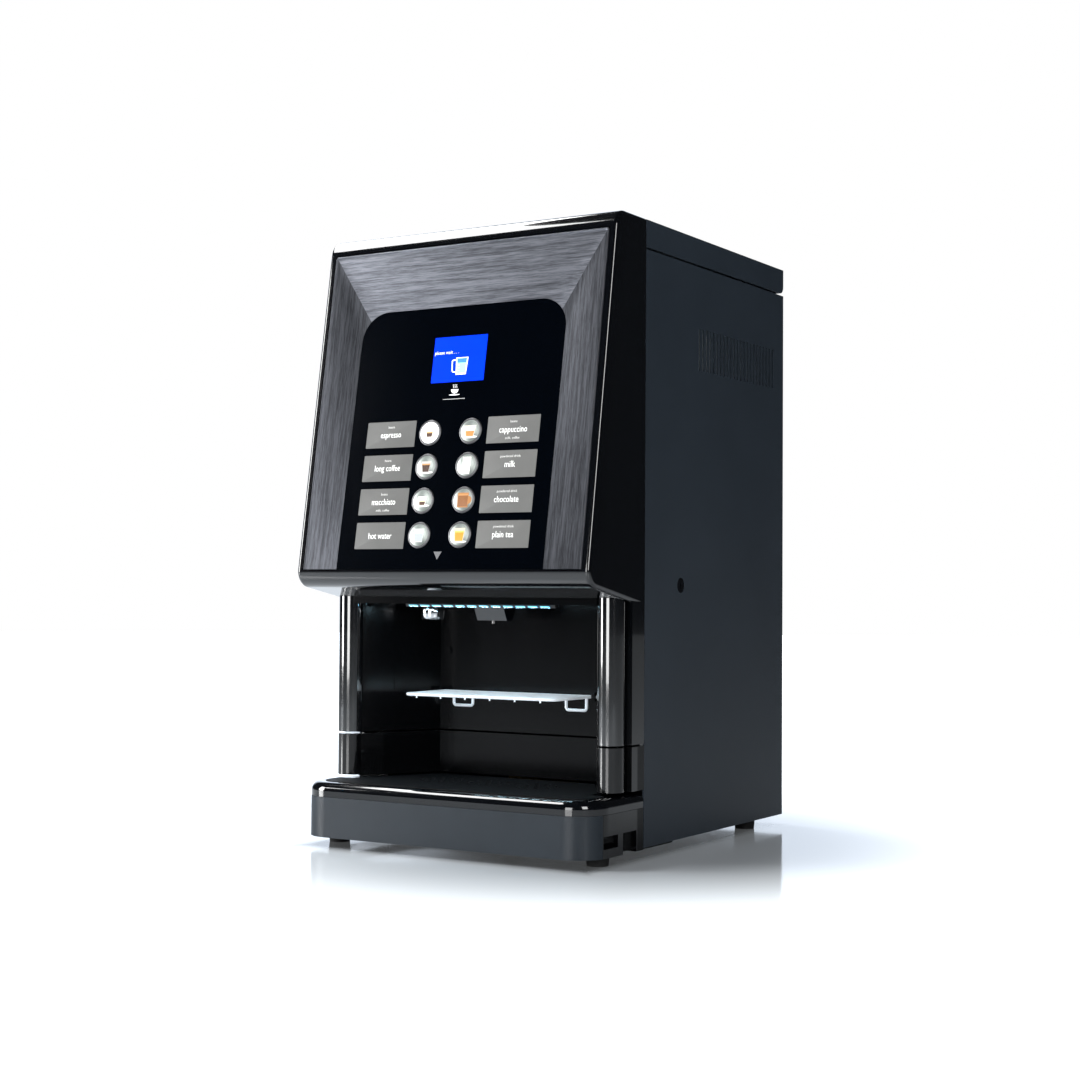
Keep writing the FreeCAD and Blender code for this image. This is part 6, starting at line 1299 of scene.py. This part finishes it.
SOFTBOXES = (
    Softbox("left_softbox", (-1.73, -1.37, 0.70), (-0.15, -0.14, 0.30), 0.60, 1.25, 36.0),
    Softbox("front_strip", (0.12, -2.13, 0.46), (0.12, -0.14, 0.25), 0.80, 0.80, 12.5),
    Softbox("top_softbox", (-1.05, -0.20, 1.85), (0.0, -0.20, 0.58), 2.00, 0.60, 42.0),
    Softbox("right_softbox", (1.75, -1.35, 0.95), (0.15, 0.0, 0.35), 0.60, 1.20, 18.0),
)


@dataclass
class Studio:
    """Pale floor, soft lights and the camera."""

    camera_place: tuple[float, float, float] = (0.9702, -1.6120, 0.2485)
    yaw: float = 31.41
    pitch: float = 1.62
    roll: float = 0.36
    lens: float = 60.9
    floor_tint: Colour = (0.74, 0.79, 0.84)
    floor_drift: Colour = (0.78, 0.82, 0.86)
    floor_near: float = 0.24
    floor_far: float = 0.62
    floor_bounce: float = 0.16
    # Colour of the painted shadow on the floor under the machine.
    painted_shadow_tint: Colour = (0.02, 0.02, 0.022)
    room_tint: Colour = (0.78, 0.87, 1.0)
    room_dim: float = 0.022
    room_back: float = 1.5
    back_heading: float = 122.0

    def build(self, shop: Workshop) -> None:
        """Set up everything round the machine."""
        self._floor(shop)
        self._world()
        for softbox in SOFTBOXES:
            softbox.hang()
        self._camera()

    def _floor(self, shop: Workshop) -> None:
        """Lay a wide pale floor that brightens to plain white away from the machine; nearer the machine its
        glow fades and under it its colour darkens, both as painted shade.
        """
        form = Form()
        turns = [2 * math.pi * step / 64 for step in range(64)]
        form.face(form.loop([(9.0 * math.cos(turn), 9.0 * math.sin(turn), 0.0) for turn in turns]))
        mesh = form.finish("studio_floor")
        tint = Finish("studio_floor_finish", self.floor_tint, self.floor_drift, Pattern.POLISH, 2.0, 0.5,
                      0.10, 0.04, relief=0.0)
        made = tint.material(shop.effects)
        graph = Graph(made.node_tree)
        shader = made.node_tree.nodes["Principled BSDF"]
        place = graph.node("ShaderNodeTexCoord").outputs["Object"]
        away = graph.vector("LENGTH", place)
        # The glow that the camera sees fades near the machine. This is painted shade, and it also lets the
        # machine's reflection show dark.
        spread = graph.ramp(away, self.floor_near, self.floor_far, 0.05, 1.2)
        bounced = graph.ramp(away, self.floor_near * 0.8, self.floor_near * 1.4, 0.0, self.floor_bounce)
        seen = graph.node("ShaderNodeLightPath").outputs["Is Camera Ray"]
        unseen = graph.calc("SUBTRACT", 1.0, seen)
        shader.inputs["Emission Color"].default_value = (0.94, 0.98, 1.0, 1.0)
        strength = graph.calc("MULTIPLY_ADD", seen, spread, graph.calc("MULTIPLY", unseen, bounced))
        graph.feed(shader.inputs["Emission Strength"], strength)
        # Under the machine's footprint the floor's colour darkens to a painted shadow.
        across, along, _ = graph.axes(place)
        high = CAD_BOX[1]
        beside = graph.calc("DIVIDE", graph.calc("ABSOLUTE", across), high[0])
        before = graph.calc("DIVIDE", graph.calc("ABSOLUTE", along), high[1])
        under = graph.ramp(graph.calc("MAXIMUM", beside, before), 1.06, 0.90)
        painted = shader.inputs["Base Color"].links[0].from_socket
        graph.feed(shader.inputs["Base Color"], graph.blend(under, painted, (*self.painted_shadow_tint, 1.0)))
        mesh.materials.append(made)
        floor = bpy.data.objects.new("studio_floor", mesh)
        bpy.context.scene.collection.objects.link(floor)

    def _world(self) -> None:
        """Surround the machine with a white room that reflects dimly, except for the wall behind it."""
        world = bpy.data.worlds.new("studio_room")
        world.use_nodes = True
        graph = Graph(world.node_tree)
        background = world.node_tree.nodes["Background"]
        seen = graph.node("ShaderNodeLightPath").outputs["Is Camera Ray"]
        heading = math.radians(self.back_heading)
        away = graph.node("ShaderNodeTexCoord").outputs["Generated"]
        toward = graph.vector("DOT_PRODUCT", away, (math.cos(heading), math.sin(heading), 0.0))
        level = graph.ramp(toward, 0.78, 0.93, self.room_dim, self.room_back)
        graph.feed(background.inputs["Color"],
                   graph.blend(seen, (*self.room_tint, 1.0), (1.0, 1.0, 1.0, 1.0)))
        bright = graph.calc("MULTIPLY", graph.calc("SUBTRACT", 1.0, seen), level)
        graph.feed(background.inputs["Strength"], graph.calc("ADD", bright, seen))
        bpy.context.scene.world = world

    def _camera(self) -> None:
        """Stand the camera to the right of the front, a little above the niche."""
        lens = bpy.data.cameras.new("camera")
        lens.lens, lens.sensor_width = self.lens, 36.0
        lens.clip_start, lens.clip_end = 0.05, 40.0
        made = bpy.data.objects.new("camera", lens)
        turn = (Matrix.Rotation(math.radians(self.yaw), 4,
                                "Z") @ Matrix.Rotation(math.radians(90 + self.pitch), 4, "X")
                @ Matrix.Rotation(math.radians(self.roll), 4, "Z"))
        made.matrix_world = Matrix.Translation(self.camera_place) @ turn
        bpy.context.scene.collection.objects.link(made)
        bpy.context.scene.camera = made


def main() -> None:
    """Dress the frame, build the pieces and set up the studio."""
    logging.basicConfig(level=logging.INFO, format="%(message)s", stream=sys.stdout)
    bpy.context.scene.view_settings.view_transform = "Standard"
    shop = Workshop()
    shop.dress_nodes()
    for part in (ControlPanel(), BrushedBezel(), DispensingNiche()):
        part.build(shop)
    Studio().build(shop)


if __name__ == "__main__":
    main()
